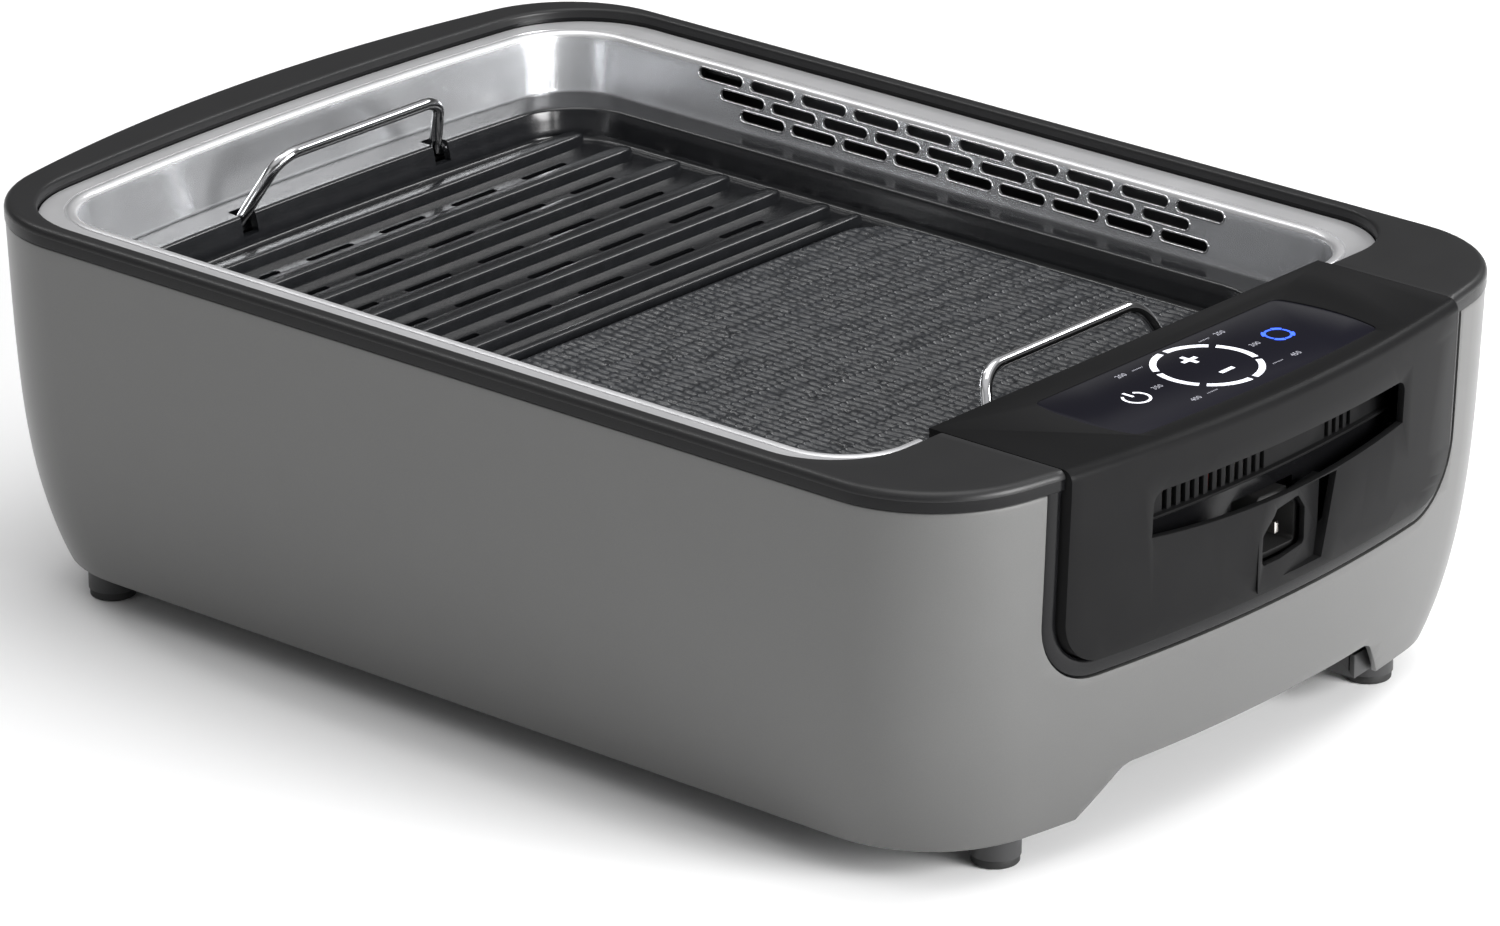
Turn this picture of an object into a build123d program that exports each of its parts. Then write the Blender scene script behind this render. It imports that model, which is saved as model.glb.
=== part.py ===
from build123d import *
import os
from math import sqrt, sin, cos, radians, pi

os.makedirs("parts", exist_ok=True)

# ---------------------------------------------------------------- driving dimensions (mm)
# frame: X along the length (control unit at +X), Y to the back, Z up, origin bottom centre
HALF_W = 176.5          # half width of the housing
X_LEFT = -266.0         # apex of the bulged left end
X_RIGHT = 263.5         # apex of the bulged right end of the housing
X_POD = 266.0           # apex of the control unit face, 2.5 proud of the housing
SAG = 23.6              # bulge of each end over the full width
CORNER_R = 52.6         # plan radius of the corners
Z_TOP = 162.0           # top of frame and control unit
Z_JOIN = 154.3          # shell meets frame
Z_SHELL = 14.0          # lower edge of the shell
DRAFT = 16.3            # how far the shell has moved in at its lower edge
WALL = 2.2              # shell wall

OPEN_W = 169.2          # frame opening, half width
OPEN_L = -244.6         # its left apex
OPEN_R = 195.5          # its right end
Z_FLANGE = 156.8        # top of the steel flange
LIN_W = 151.0           # liner mouth, half width
LIN_L = -231.5          # liner mouth, left apex
LIN_R = 184.6           # liner mouth, right end
Z_LEDGE = 129.4         # ledge that carries the plate
PLATE_W = 146.3         # cooking plate, half width
PLATE_L = -226.7
PLATE_R = 183.3
Z_RIM = 133.4           # top of the plate's rim
Z_FLOOR = 121.0         # cooking surface between the ribs
Z_RIB = 126.0           # rib tops
PAN_W = 132.0           # pan inside the rim, half width
PAN_L = -209.5
PAN_R = 168.0
RIB_PITCH = 26.5
RIB_FIRST = -191.0
RIB_COUNT = 6
DIVIDER_X = -35.0       # ribs to the left of it, griddle to the right

POD_X = 190.0           # inner edge of the control unit
POD_Y = 115.7           # half width of the control unit
POD_Z = 84.0            # lower edge of the control unit
CUT_Y = 124.0           # cut-out in the shell, half width
CUT_Z = 76.0            # lower edge of the cut-out

HANDLE_D = 5.0          # handle wire
HANDLE_Y = 57.5         # half span of a handle at its pivots
HANDLE_Z = 128.6        # pivot height
HANDLE_XL = -213.2      # pivot of the left handle
HANDLE_XR = 171.7       # pivot of the right handle
HANDLE_LEAN = 25.0      # inward lean at rest, degrees

FEET = [(221.0, 113.2), (221.0, -113.2), (-202.8, 142.8), (-202.8, -142.8)]

FAN_C = (221.0, 113.0)  # fan axis in X, Z; it runs along Y
FAN_R = 19.5


# ---------------------------------------------------------------- helpers
def end_points(w, apex, sag, r, side):
    """Side tangent, fillet middle, arc tangent and apex of one bulged end (upper half)."""
    re = (w * w + sag * sag) / (2 * sag)
    xc = apex - re * side
    fy = w - r
    fx = xc + side * sqrt((re - r) ** 2 - fy ** 2)
    ux, uy = (fx - xc) / (re - r), fy / (re - r)
    tang = (xc + re * ux, re * uy)
    mx, my = ux, uy + 1.0
    n = sqrt(mx * mx + my * my)
    mid = (fx + r * mx / n, fy + r * my / n)
    return (fx, w), mid, tang


def bulged(w, xl, sl, rl, xr, sr, rr):
    """Plan outline with two straight sides, two bulged ends and four round corners."""
    ls, lm, lt = end_points(w, xl, sl, rl, -1)
    rs, rm, rt = end_points(w, xr, sr, rr, 1)
    with BuildSketch() as sk:
        with BuildLine():
            Line(ls, rs)
            ThreePointArc(rs, rm, rt)
            ThreePointArc(rt, (xr, 0), (rt[0], -rt[1]))
            ThreePointArc((rt[0], -rt[1]), (rm[0], -rm[1]), (rs[0], -rs[1]))
            Line((rs[0], -rs[1]), (ls[0], -ls[1]))
            ThreePointArc((ls[0], -ls[1]), (lm[0], -lm[1]), (lt[0], -lt[1]))
            ThreePointArc((lt[0], -lt[1]), (xl, 0), lt)
            ThreePointArc(lt, lm, ls)
        make_face()
    return sk.sketch


def housing_face(d, off=0.0, push=0.0):
    """Housing outline drafted in by d, then offset in by off; push moves the right end out."""
    re = (HALF_W ** 2 + SAG ** 2) / (2 * SAG)
    w = HALF_W - d - off
    re_o = re - off
    sag = re_o - sqrt(re_o ** 2 - w ** 2)
    return bulged(w, X_LEFT + d + off, sag, CORNER_R - off, X_RIGHT + push - d - off, sag, CORNER_R - off)


def draft_at(z):
    t = (Z_JOIN - z) / (Z_JOIN - Z_SHELL)
    t = max(t, 0.0)
    return DRAFT * (0.30 * t + 0.70 * t ** 4)


def open_face(off=0.0):
    return bulged(OPEN_W - off, OPEN_L + off, 10.5, 46.0 - off, OPEN_R - off, 0.6, 34.0 - off)


def liner_face(off=0.0):
    return bulged(LIN_W - off, LIN_L + off, 8.0, 31.0 - off, LIN_R - off, 0.6, 27.0 - off)


def well_face(off=0.0):
    return bulged(137.5 - off, -219.5 + off, 3.0, 24.0 - off, 178.0 - off, 0.5, 22.0 - off)


def foot_face(off=0.0):
    """Liner wall where it meets the ledge."""
    return bulged(LIN_W - 4.0 - off, LIN_L + 4.0 + off, 7.8, 28.0 - off, LIN_R - 0.4 - off, 0.6, 24.0 - off)


def plate_face(off=0.0):
    return bulged(PLATE_W - off, PLATE_L + off, 7.8, 27.3 - off, PLATE_R - off, 0.6, 23.2 - off)


def pan_face(off=0.0):
    return bulged(PAN_W - off, PAN_L + off, 4.0, 30.0 - off, PAN_R - off, 2.0, 34.0 - off)


def lofted(zs, off=0.0, push=0.0):
    with BuildPart() as p:
        for z in zs:
            with BuildSketch(Plane.XY.offset(z)):
                add(housing_face(draft_at(z), off, push))
        loft()
    return p.part


def pod_window(y, z, r, lo=150.0, hi=300.0):
    """Block with rounded lower corners that cuts the control unit's window."""
    with BuildPart() as p:
        with BuildSketch(Plane.YZ.offset(lo)):
            with Locations((0, z + (200 - z) / 2)):
                RectangleRounded(2 * y, 200 - z, r)
        extrude(amount=hi - lo)
    return p.part


def save(builder, label):
    builder.part.label = label
    export_step(builder.part, "parts/" + label + ".step")


LEVELS = [Z_JOIN, 130, 106, 82, 62, 46, 33, 22, Z_SHELL]

# ---------------------------------------------------------------- outer shell
with BuildPart() as outer_shell:
    add(lofted(LEVELS, 0.4))
    add(lofted(LEVELS, 0.4 + WALL), mode=Mode.SUBTRACT)
    # cut-out for the control unit, open at the top
    add(pod_window(CUT_Y, CUT_Z, 28.0, 205.0), mode=Mode.SUBTRACT)
    # arch in the lower edge at the control end
    with BuildSketch(Plane.YZ.offset(200)):
        with BuildLine():
            Polyline((-92, 0), (-92, 14), (-73, 33), (76, 33), (92, 14), (92, 0), close=True)
        make_face()
        fillet(vertices().group_by(Axis.Y)[-1], 9)
    extrude(amount=100, mode=Mode.SUBTRACT)
save(outer_shell, "outer_shell")

# ---------------------------------------------------------------- top frame
with BuildPart() as top_frame:
    with BuildSketch(Plane.XY.offset(Z_JOIN + 0.1)):
        add(housing_face(0.0))
    extrude(amount=Z_TOP - Z_JOIN - 0.1)
    fillet(top_frame.faces().sort_by(Axis.Z)[-1].edges(), 3.0)
    with BuildSketch(Plane.XY.offset(Z_JOIN - 2)):
        add(open_face())
    extrude(amount=20, mode=Mode.SUBTRACT)
    fillet(
        [e for e in top_frame.edges().filter_by(lambda e: abs(e.center().Z - Z_TOP) < 0.01 and e.bounding_box().size.Z < 0.01)
         if e.center().X < 198 and abs(e.center().Y) < OPEN_W + 0.5 and e.center().X > OPEN_L - 0.5],
        1.5,
    )
    # inner step wall that the steel flange sits in, with a narrow seat under the flange
    with BuildSketch(Plane.XY.offset(Z_FLANGE - 8.8)):
        add(open_face(-2.2))
        add(open_face(), mode=Mode.SUBTRACT)
    extrude(amount=8.0)
    with BuildSketch(Plane.XY.offset(Z_FLANGE - 3.3)):
        add(open_face(-1.0))
        add(open_face(6.0), mode=Mode.SUBTRACT)
    extrude(amount=2.0)
    # locating skirt inside the shell
    with BuildSketch(Plane.XY.offset(Z_JOIN - 7.5)):
        add(housing_face(0.7, WALL + 0.5))
        add(housing_face(0.7, WALL + 2.7), mode=Mode.SUBTRACT)
    extrude(amount=8.5)
    # window for the control unit, through the seat as well
    add(pod_window(POD_Y + 0.35, 60.0, 20.0, 180.0), mode=Mode.SUBTRACT)
    # U bezel down both sides and under the control unit
    with BuildPart(mode=Mode.PRIVATE) as bezel:
        add(lofted([Z_JOIN + 4.0, 130, 106, 82, 62], 0.4))
        add(lofted([Z_JOIN + 4.0, 130, 106, 82, 62], 9.0), mode=Mode.SUBTRACT)
        add(pod_window(CUT_Y - 0.25, CUT_Z + 0.25, 27.75), mode=Mode.INTERSECT)
        add(pod_window(POD_Y + 0.35, POD_Z - 0.35, 20.0), mode=Mode.SUBTRACT)
    add(bezel.part)
save(top_frame, "top_frame")
print("top_frame solids", len(top_frame.part.solids()))

# ---------------------------------------------------------------- stainless liner
SLOT_L, SLOT_H = 23.5, 4.4
SLOT_ROWS = [(152.3, -140.4, 27.44, 10), (145.8, -128.0, 27.3, 9), (139.3, -116.4, 27.1, 9)]
with BuildPart() as steel_liner:
    with BuildSketch(Plane.XY.offset(Z_FLANGE - 1.2)):
        add(open_face(0.3))
    extrude(amount=1.2)
    with BuildSketch(Plane.XY.offset(Z_FLANGE - 0.6)):
        add(liner_face(-1.2))
    with BuildSketch(Plane.XY.offset(Z_LEDGE - 1.3)):
        add(foot_face(-1.2))
    loft()
    with BuildPart(mode=Mode.PRIVATE) as mouth:
        with BuildSketch(Plane.XY.offset(Z_FLANGE + 0.02)):
            add(liner_face())
        with BuildSketch(Plane.XY.offset(Z_LEDGE)):
            add(foot_face())
        loft()
    add(mouth.part, mode=Mode.SUBTRACT)
    with BuildSketch(Plane.XY.offset(Z_LEDGE - 3)):
        add(well_face(1.2))
    extrude(amount=10, mode=Mode.SUBTRACT)
    # short collar that drops into the well
    with BuildSketch(Plane.XY.offset(Z_LEDGE - 7)):
        add(well_face(0.3))
        add(well_face(1.2), mode=Mode.SUBTRACT)
    extrude(amount=6.5)
    # rolled inner edge
    fillet(
        [e for e in steel_liner.edges().filter_by(lambda e: abs(e.center().Z - Z_FLANGE) < 0.02 and e.bounding_box().size.Z < 0.05)
         if abs(e.center().Y) < LIN_W + 0.5 and LIN_L - 0.5 < e.center().X < LIN_R + 0.5],
        1.6,
    )
    # smoke slots in the back wall
    with BuildSketch(Plane.XZ.offset(-140)):
        for z, x0, pitch, n in SLOT_ROWS:
            for k in range(n):
                with Locations((x0 + pitch * k, z)):
                    SlotOverall(SLOT_L, SLOT_H)
    extrude(amount=-20, mode=Mode.SUBTRACT)
    # open where the control unit stands
    with BuildSketch(Plane.XY.offset(90)):
        with Locations((200, 0)):
            Rectangle(50, 2 * (POD_Y + 1.2))
    extrude(amount=80, mode=Mode.SUBTRACT)
save(steel_liner, "steel_liner")
print("steel_liner solids", len(steel_liner.part.solids()))

# ---------------------------------------------------------------- seal between frame seat and flange
with BuildPart() as seal_ring:
    with BuildSketch(Plane.XY.offset(Z_FLANGE - 3.3)):
        add(open_face(6.4))
        add(open_face(8.6), mode=Mode.SUBTRACT)
    extrude(amount=2.1)
    with BuildSketch(Plane.XY.offset(90)):
        with Locations((200, 0)):
            Rectangle(50, 2 * (POD_Y + 1.2))
    extrude(amount=80, mode=Mode.SUBTRACT)
save(seal_ring, "seal_ring")

# ---------------------------------------------------------------- inner well
WELL_Z = 44.0
with BuildPart() as heat_tub:
    with BuildSketch(Plane.XY.offset(WELL_Z)):
        add(well_face(-1.5))
    extrude(amount=Z_LEDGE - 1.4 - WELL_Z)
    with BuildSketch(Plane.XY.offset(WELL_Z + 1.5)):
        add(well_face())
    extrude(amount=100, mode=Mode.SUBTRACT)
    # lip screwed to the liner
    with BuildSketch(Plane.XY.offset(Z_LEDGE - 2.9)):
        add(foot_face(-0.6))
        add(well_face(), mode=Mode.SUBTRACT)
    extrude(amount=1.5)
    # opening for the heating element in the right-hand wall
    with BuildSketch(Plane.YZ.offset(170)):
        with Locations((0, 140)):
            Rectangle(2 * (POD_Y + 1.2), 2 * (140 - 96.0))
    extrude(amount=40, mode=Mode.SUBTRACT)
    # two rails that carry the drip tray
    with BuildSketch(Plane.XY.offset(WELL_Z + 1.5)):
        with Locations((-20, 70), (-20, -70)):
            RectangleRounded(300, 8, 3.5)
    extrude(amount=2.3)
save(heat_tub, "heat_tub")

# ---------------------------------------------------------------- smoke duct behind the slots
DUCT_X0, DUCT_X1 = -160.0, 172.0
with BuildPart() as smoke_duct:
    with BuildSketch(Plane.YZ.offset(DUCT_X0)):
        with BuildLine():
            Polyline((141.5, 126.3), (141.5, 100), (164.5, 100), (164.5, 152.5), (155.2, 152.5), (155.2, 126.3), close=True)
        make_face()
    extrude(amount=DUCT_X1 - DUCT_X0)
    with BuildSketch(Plane.YZ.offset(DUCT_X0 + 1.2)):
        with BuildLine():
            Polyline((142.7, 125.1), (142.7, 101.2), (163.3, 101.2), (163.3, 154), (156.4, 154), (156.4, 125.1), close=True)
        make_face()
    extrude(amount=DUCT_X1 - DUCT_X0 - 2.4, mode=Mode.SUBTRACT)
    # mouth towards the slots
    with BuildSketch(Plane.XZ.offset(-150)):
        with Locations(((DUCT_X0 + DUCT_X1) / 2, 142.5)):
            Rectangle(DUCT_X1 - DUCT_X0 - 12, 17)
    extrude(amount=-9, mode=Mode.SUBTRACT)
    # branch that brings the smoke to the control unit's side
    with BuildSketch(Plane.XY.offset(100)):
        with BuildLine():
            Polyline((172, 141.5), (172, 164.5), (203, 150.5), (240, 133.6), (240, 121.5), (190, 121.5), (190, 141.5), close=True)
        make_face()
    extrude(amount=26)
    with BuildSketch(Plane.XY.offset(101.2)):
        with BuildLine():
            Polyline((169, 142.7), (169, 163.0), (172, 163.0), (202.5, 149.4), (238.8, 132.8), (238.8, 120), (191.2, 120), (191.2, 142.7), close=True)
        make_face()
    extrude(amount=23.6, mode=Mode.SUBTRACT)
save(smoke_duct, "smoke_duct")

with BuildPart() as duct_gasket:
    with BuildSketch(Plane.XZ.offset(-118.6)):
        with Locations((215, 113.0)):
            Rectangle(50, 26)
            Rectangle(45, 21, mode=Mode.SUBTRACT)
    extrude(amount=-2.9)
save(duct_gasket, "duct_gasket")

# ---------------------------------------------------------------- bottom cover with foot bosses and hand recess
with BuildPart() as bottom_cover:
    with BuildSketch(Plane.XY.offset(Z_SHELL + 0.6)):
        add(housing_face(DRAFT, WALL + 1.2))
    extrude(amount=2.6)
    # upstand that snaps inside the shell
    with BuildSketch(Plane.XY.offset(Z_SHELL + 3.2)):
        add(housing_face(DRAFT, WALL + 1.2))
        add(housing_face(DRAFT, WALL + 3.4), mode=Mode.SUBTRACT)
    extrude(amount=7)
    # hand recess behind the arch
    with BuildSketch(Plane.XY.offset(Z_SHELL + 0.6)):
        with Locations((219.6, -8)):
            Rectangle(33, 180)
    extrude(amount=24)
    with BuildSketch(Plane.XY.offset(Z_SHELL - 4)):
        with Locations((234, -8)):
            RectangleRounded(57.5, 175.5, 6)
    extrude(amount=26.2, mode=Mode.SUBTRACT)
    with BuildSketch(Plane.XY.offset(3.4)):
        with Locations(*FEET):
            Circle(9.6)
    extrude(amount=Z_SHELL - 2.4)
    with BuildSketch(Plane.XY.offset(3.4)):
        with Locations(*FEET):
            Circle(3.2)
    extrude(amount=7, mode=Mode.SUBTRACT)
    # cooling slots
    with BuildSketch(Plane.XY.offset(Z_SHELL)):
        for ix in range(9):
            for iy in (-1, 0, 1):
                with Locations((-110 + 12 * ix, 75 * iy)):
                    SlotOverall(34, 4, rotation=90)
    extrude(amount=6, mode=Mode.SUBTRACT)
    # screw holes
    with BuildSketch(Plane.XY.offset(Z_SHELL)):
        with Locations((-215, 60), (-215, -60), (0, 138), (0, -138), (180, 132), (180, -132)):
            Circle(2.1)
    extrude(amount=6, mode=Mode.SUBTRACT)
save(bottom_cover, "bottom_cover")
print("bottom_cover solids", len(bottom_cover.part.solids()))

with BuildPart() as rubber_feet:
    with BuildSketch():
        with Locations(*FEET):
            Circle(9.1)
    extrude(amount=3.3)
    chamfer(rubber_feet.faces().sort_by(Axis.Z)[0:4].edges(), 0.6)
    with BuildSketch(Plane.XY.offset(3.3)):
        with Locations(*FEET):
            Circle(3.1)
    extrude(amount=5.5)
save(rubber_feet, "rubber_feet")

with BuildPart() as bottom_screws:
    with BuildSketch(Plane.XY.offset(Z_SHELL - 1.4)):
        with Locations((-215, 60), (-215, -60), (0, 138), (0, -138), (180, 132), (180, -132)):
            Circle(3.4)
    extrude(amount=1.9)
    with BuildSketch(Plane.XY.offset(Z_SHELL + 0.5)):
        with Locations((-215, 60), (-215, -60), (0, 138), (0, -138), (180, 132), (180, -132)):
            Circle(1.5)
    extrude(amount=12)
    with BuildSketch(Plane.XY.offset(Z_SHELL - 1.4)):
        with Locations((-215, 60), (-215, -60), (0, 138), (0, -138), (180, 132), (180, -132)):
            RegularPolygon(1.5, 6)
    extrude(amount=0.9, mode=Mode.SUBTRACT)
save(bottom_screws, "bottom_screws")

# ---------------------------------------------------------------- drip tray
TRAY_Z = 48.1
with BuildPart() as drip_tray:
    with BuildSketch(Plane.XY.offset(TRAY_Z)):
        add(well_face(16.0))
    with BuildSketch(Plane.XY.offset(84.0)):
        add(well_face(11.0))
    loft()
    with BuildSketch(Plane.XY.offset(82.8)):
        add(well_face(5.5))
    extrude(amount=1.2)
    with BuildPart(mode=Mode.PRIVATE) as tray_inside:
        with BuildSketch(Plane.XY.offset(TRAY_Z + 1.2)):
            add(well_face(17.2))
        with BuildSketch(Plane.XY.offset(84.1)):
            add(well_face(12.2))
        loft()
    add(tray_inside.part, mode=Mode.SUBTRACT)
save(drip_tray, "drip_tray")

# ---------------------------------------------------------------- control unit
POD_LEVELS = [Z_TOP, Z_JOIN, 130, 106, 82, 62]


def pod_hull(off):
    levels = POD_LEVELS if off == 0 else [Z_TOP - 2.8] + POD_LEVELS[1:]
    with BuildPart() as p:
        add(lofted(levels, off, X_POD - X_RIGHT))
        add(pod_window(POD_Y - off, POD_Z + off, 19.65 - off, POD_X - 12 if off else POD_X), mode=Mode.INTERSECT)
    return p.part


def slot_sketch(grow=0.0):
    with BuildSketch() as sk:
        with BuildLine():
            ThreePointArc((-75 - grow, 125.5 - grow), (0, 121.2 - grow), (76 + grow, 125.5 - grow))
            Line((76 + grow, 125.5 - grow), (76 + grow, 143 + grow))
            Line((76 + grow, 143 + grow), (-75 - grow, 143 + grow))
            Line((-75 - grow, 143 + grow), (-75 - grow, 125.5 - grow))
        make_face()
        fillet(sk.vertices().sort_by(Axis.Y)[-2:], 5.0)
    return sk.sketch


def inlet_sketch(grow=0.0):
    with BuildSketch() as sk:
        with BuildLine():
            Polyline((-13 - grow, 95.7 - grow), (16.5 + grow, 95.7 - grow), (16.5 + grow, 110), (11, 116.3 + grow),
                     (-5, 116.3 + grow), (-13 - grow, 108), close=True)
        make_face()
        fillet(sk.vertices(), 2.0)
    return sk.sketch


def panel_sketch(off=0.0):
    with BuildSketch() as sk:
        with BuildLine():
            ThreePointArc((251.3 - off, -71.5 + off), (254.2 - off, 0), (251.3 - off, 71.5 - off))
            ThreePointArc((251.3 - off, 71.5 - off), (227.5, 75.3 - off), (202.8 + off, 71.5 - off))
            Line((202.8 + off, 71.5 - off), (202.8 + off, -71.5 + off))
            ThreePointArc((202.8 + off, -71.5 + off), (227.5, -75.3 + off), (251.3 - off, -71.5 + off))
        make_face()
        fillet(sk.vertices(), 5.0)
    return sk.sketch


with BuildPart() as pod_shell:
    add(pod_hull(0.0))
    fillet(
        [e for e in pod_shell.edges() if e.center().X > 255 and abs(e.center().Z - Z_TOP) < 0.1],
        4.5,
    )
    add(pod_hull(3.0), mode=Mode.SUBTRACT)
    # smoke outlet in the end face
    with BuildSketch(Plane.YZ.offset(240)):
        add(slot_sketch())
    extrude(amount=40, mode=Mode.SUBTRACT)
    # slanted pocket around the mains inlet
    with BuildSketch(Plane.XY.offset(88.0)):
        with BuildLine():
            Polyline((266.2, -17.5), (259.0, 24.6), (272, 24.6), (272, -17.5), close=True)
        make_face()
    with BuildSketch(Plane.XY.offset(121.0)):
        with BuildLine():
            Polyline((266.2, -17.5), (258.4, 31.0), (272, 31.0), (272, -17.5), close=True)
        make_face()
    loft(mode=Mode.SUBTRACT)
    # backing behind the pocket
    with BuildSketch(Plane.XY.offset(86.0)):
        with BuildLine():
            Polyline((263.4, -15.5), (256.6, 26.4), (261.0, 27.5), (264, -15.5), close=True)
        make_face()
    extrude(amount=34.0)
    with BuildSketch(Plane.XY.offset(88.0)):
        with BuildLine():
            Polyline((266.2, -17.5), (259.0, 24.6), (272, 24.6), (272, -17.5), close=True)
        make_face()
    with BuildSketch(Plane.XY.offset(121.0)):
        with BuildLine():
            Polyline((266.2, -17.5), (258.4, 31.0), (272, 31.0), (272, -17.5), close=True)
        make_face()
    loft(mode=Mode.SUBTRACT)
    with BuildSketch(Plane.YZ.offset(240)):
        add(inlet_sketch())
    extrude(amount=40, mode=Mode.SUBTRACT)
    # seat for the touch panel and window for the light guide
    with BuildSketch(Plane.XY.offset(160.6)):
        add(panel_sketch(-0.12))
    extrude(amount=5, mode=Mode.SUBTRACT)
    with BuildSketch(Plane.XY.offset(150)):
        with Locations((227, 0)):
            Rectangle(30.6, 100.6)
    extrude(amount=15, mode=Mode.SUBTRACT)
    # smoke intake in the side wall
    with BuildSketch(Plane.XZ.offset(-108)):
        with Locations((215, 113)):
            RectangleRounded(42, 18, 4)
    extrude(amount=-12, mode=Mode.SUBTRACT)
    # screw bosses
    with BuildSketch(Plane.YZ.offset(191.6)):
        with Locations((108.4, 150), (-108.4, 150), (97, 91.3), (-97, 91.3)):
            Circle(4.6)
    extrude(amount=10)
    with BuildSketch(Plane.YZ.offset(191.6)):
        with Locations((108.4, 150), (-108.4, 150), (97, 91.3), (-97, 91.3)):
            Circle(1.5)
    extrude(amount=9, mode=Mode.SUBTRACT)
save(pod_shell, "pod_shell")
print("pod_shell solids", len(pod_shell.part.solids()))

with BuildPart() as pod_back:
    with BuildSketch(Plane.YZ.offset(POD_X + 0.1)):
        with Locations((0, POD_Z + 3.3 + (158.7 - POD_Z - 3.3) / 2)):
            RectangleRounded(2 * (POD_Y - 3.3), 158.7 - POD_Z - 3.3, 3)
    extrude(amount=1.4)
    with BuildSketch(Plane.YZ.offset(POD_X - 5)):
        with Locations((22, 104), (-22, 104)):
            Circle(3.6)
        with Locations((8, 110)):
            Circle(2.05)
        with Locations((108.4, 150), (-108.4, 150), (97, 91.3), (-97, 91.3)):
            Circle(1.7)
    extrude(amount=10, mode=Mode.SUBTRACT)
    # the lower corners follow the rounded corners of the shell
    add(pod_window(POD_Y - 3.2, POD_Z + 3.2, 16.4, POD_X - 2), mode=Mode.INTERSECT)
save(pod_back, "pod_back")

with BuildPart() as pod_screws:
    with BuildSketch(Plane.YZ.offset(POD_X - 1.4)):
        with Locations((108.4, 150), (-108.4, 150), (97, 91.3), (-97, 91.3)):
            Circle(3.0)
    extrude(amount=1.5)
    with BuildSketch(Plane.YZ.offset(POD_X + 0.1)):
        with Locations((108.4, 150), (-108.4, 150), (97, 91.3), (-97, 91.3)):
            Circle(1.5)
    extrude(amount=9.5)
save(pod_screws, "pod_screws")

with BuildPart() as touch_panel:
    with BuildSketch(Plane.XY.offset(160.6)):
        add(panel_sketch())
    extrude(amount=1.4)
    chamfer(touch_panel.faces().sort_by(Axis.Z)[-1].edges(), 0.25)
save(touch_panel, "touch_panel")

with BuildPart() as light_guide:
    with BuildSketch(Plane.XY.offset(157.6)):
        with Locations((227, 0)):
            Rectangle(30, 100)
    extrude(amount=3.0)
save(light_guide, "light_guide")

with BuildPart() as control_board:
    with BuildSketch(Plane.XY.offset(153.4)):
        with Locations((224, -4)):
            Rectangle(44, 140)
    extrude(amount=1.6)
    with BuildSketch(Plane.XY.offset(155.0)):
        with Locations((227, 0)):
            Rectangle(26, 92)
    extrude(amount=2.6)
    with BuildSketch(Plane.XY.offset(153.4)):
        with Locations((222, -30)):
            Rectangle(12, 12)
        with Locations((210, 20), (210, 44)):
            Rectangle(6, 14)
    extrude(amount=-2.0)
save(control_board, "control_board")

with BuildPart() as power_board:
    with BuildSketch(Plane.XY.offset(90.0)):
        with Locations((227, -62)):
            Rectangle(50, 66)
    extrude(amount=1.6)
    with BuildSketch(Plane.XY.offset(91.6)):
        with Locations((215, -50)):
            Rectangle(20, 28)
        with Locations((238, -78)):
            Circle(7)
    extrude(amount=17)
    with BuildSketch(Plane.XY.offset(91.6)):
        with Locations((238, -50)):
            Rectangle(16, 20)
        with Locations((212, -80)):
            Circle(5)
    extrude(amount=12)
save(power_board, "power_board")

# ---------------------------------------------------------------- mains inlet
with BuildPart() as power_inlet:
    with BuildSketch(Plane.YZ.offset(236.0)):
        add(inlet_sketch(2.4))
    extrude(amount=19.6)
    with BuildSketch(Plane.YZ.offset(238.4)):
        add(inlet_sketch(0.0))
    extrude(amount=30, mode=Mode.SUBTRACT)
    with BuildSketch(Plane.YZ.offset(234.0)):
        with Locations((1.75, 109.3), (-5.3, 102.2), (8.8, 102.2)):
            Rectangle(2.0, 4.6)
    extrude(amount=10, mode=Mode.SUBTRACT)
save(power_inlet, "power_inlet")

with BuildPart() as inlet_pins:
    with BuildSketch(Plane.YZ.offset(230.0)):
        with Locations((1.75, 109.3), (-5.3, 102.2), (8.8, 102.2)):
            Rectangle(2.0, 4.6)
    extrude(amount=24.0)
    chamfer(inlet_pins.faces().group_by(Axis.X)[-1].edges(), 0.5)
save(inlet_pins, "inlet_pins")

# ---------------------------------------------------------------- exhaust louver behind the slot
with BuildPart() as exhaust_louver:
    with BuildSketch(Plane.XY.offset(113.0)):
        add(housing_face(0.0, 14.0, X_POD - X_RIGHT))
        add(housing_face(0.0, 16.0, X_POD - X_RIGHT), mode=Mode.SUBTRACT)
        with Locations((250, 0)):
            Rectangle(40, 168, mode=Mode.INTERSECT)
    extrude(amount=37)
    # clear of the mains inlet
    with BuildSketch(Plane.YZ.offset(235)):
        with Locations((1.75, 114.2)):
            Rectangle(36.5, 10.0)
    extrude(amount=22, mode=Mode.SUBTRACT)
    # shelf in front of the lower edge of the slots
    with BuildSketch(Plane.XY.offset(126.0)):
        add(housing_face(0.0, 11.8, X_POD - X_RIGHT))
        add(housing_face(0.0, 16.0, X_POD - X_RIGHT), mode=Mode.SUBTRACT)
        with Locations((250, 0)):
            Rectangle(40, 168, mode=Mode.INTERSECT)
    extrude(amount=1.2)
    with BuildSketch(Plane.YZ.offset(235)):
        for k in range(12):
            with Locations((-54 + 5 * k, 135.2)):
                Rectangle(2.5, 16)
        for k in range(4):
            with Locations((42 + 5 * k, 135.2)):
                Rectangle(2.5, 16)
    extrude(amount=22, mode=Mode.SUBTRACT)
save(exhaust_louver, "exhaust_louver")
print("louver solids", len(exhaust_louver.part.solids()))

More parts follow.
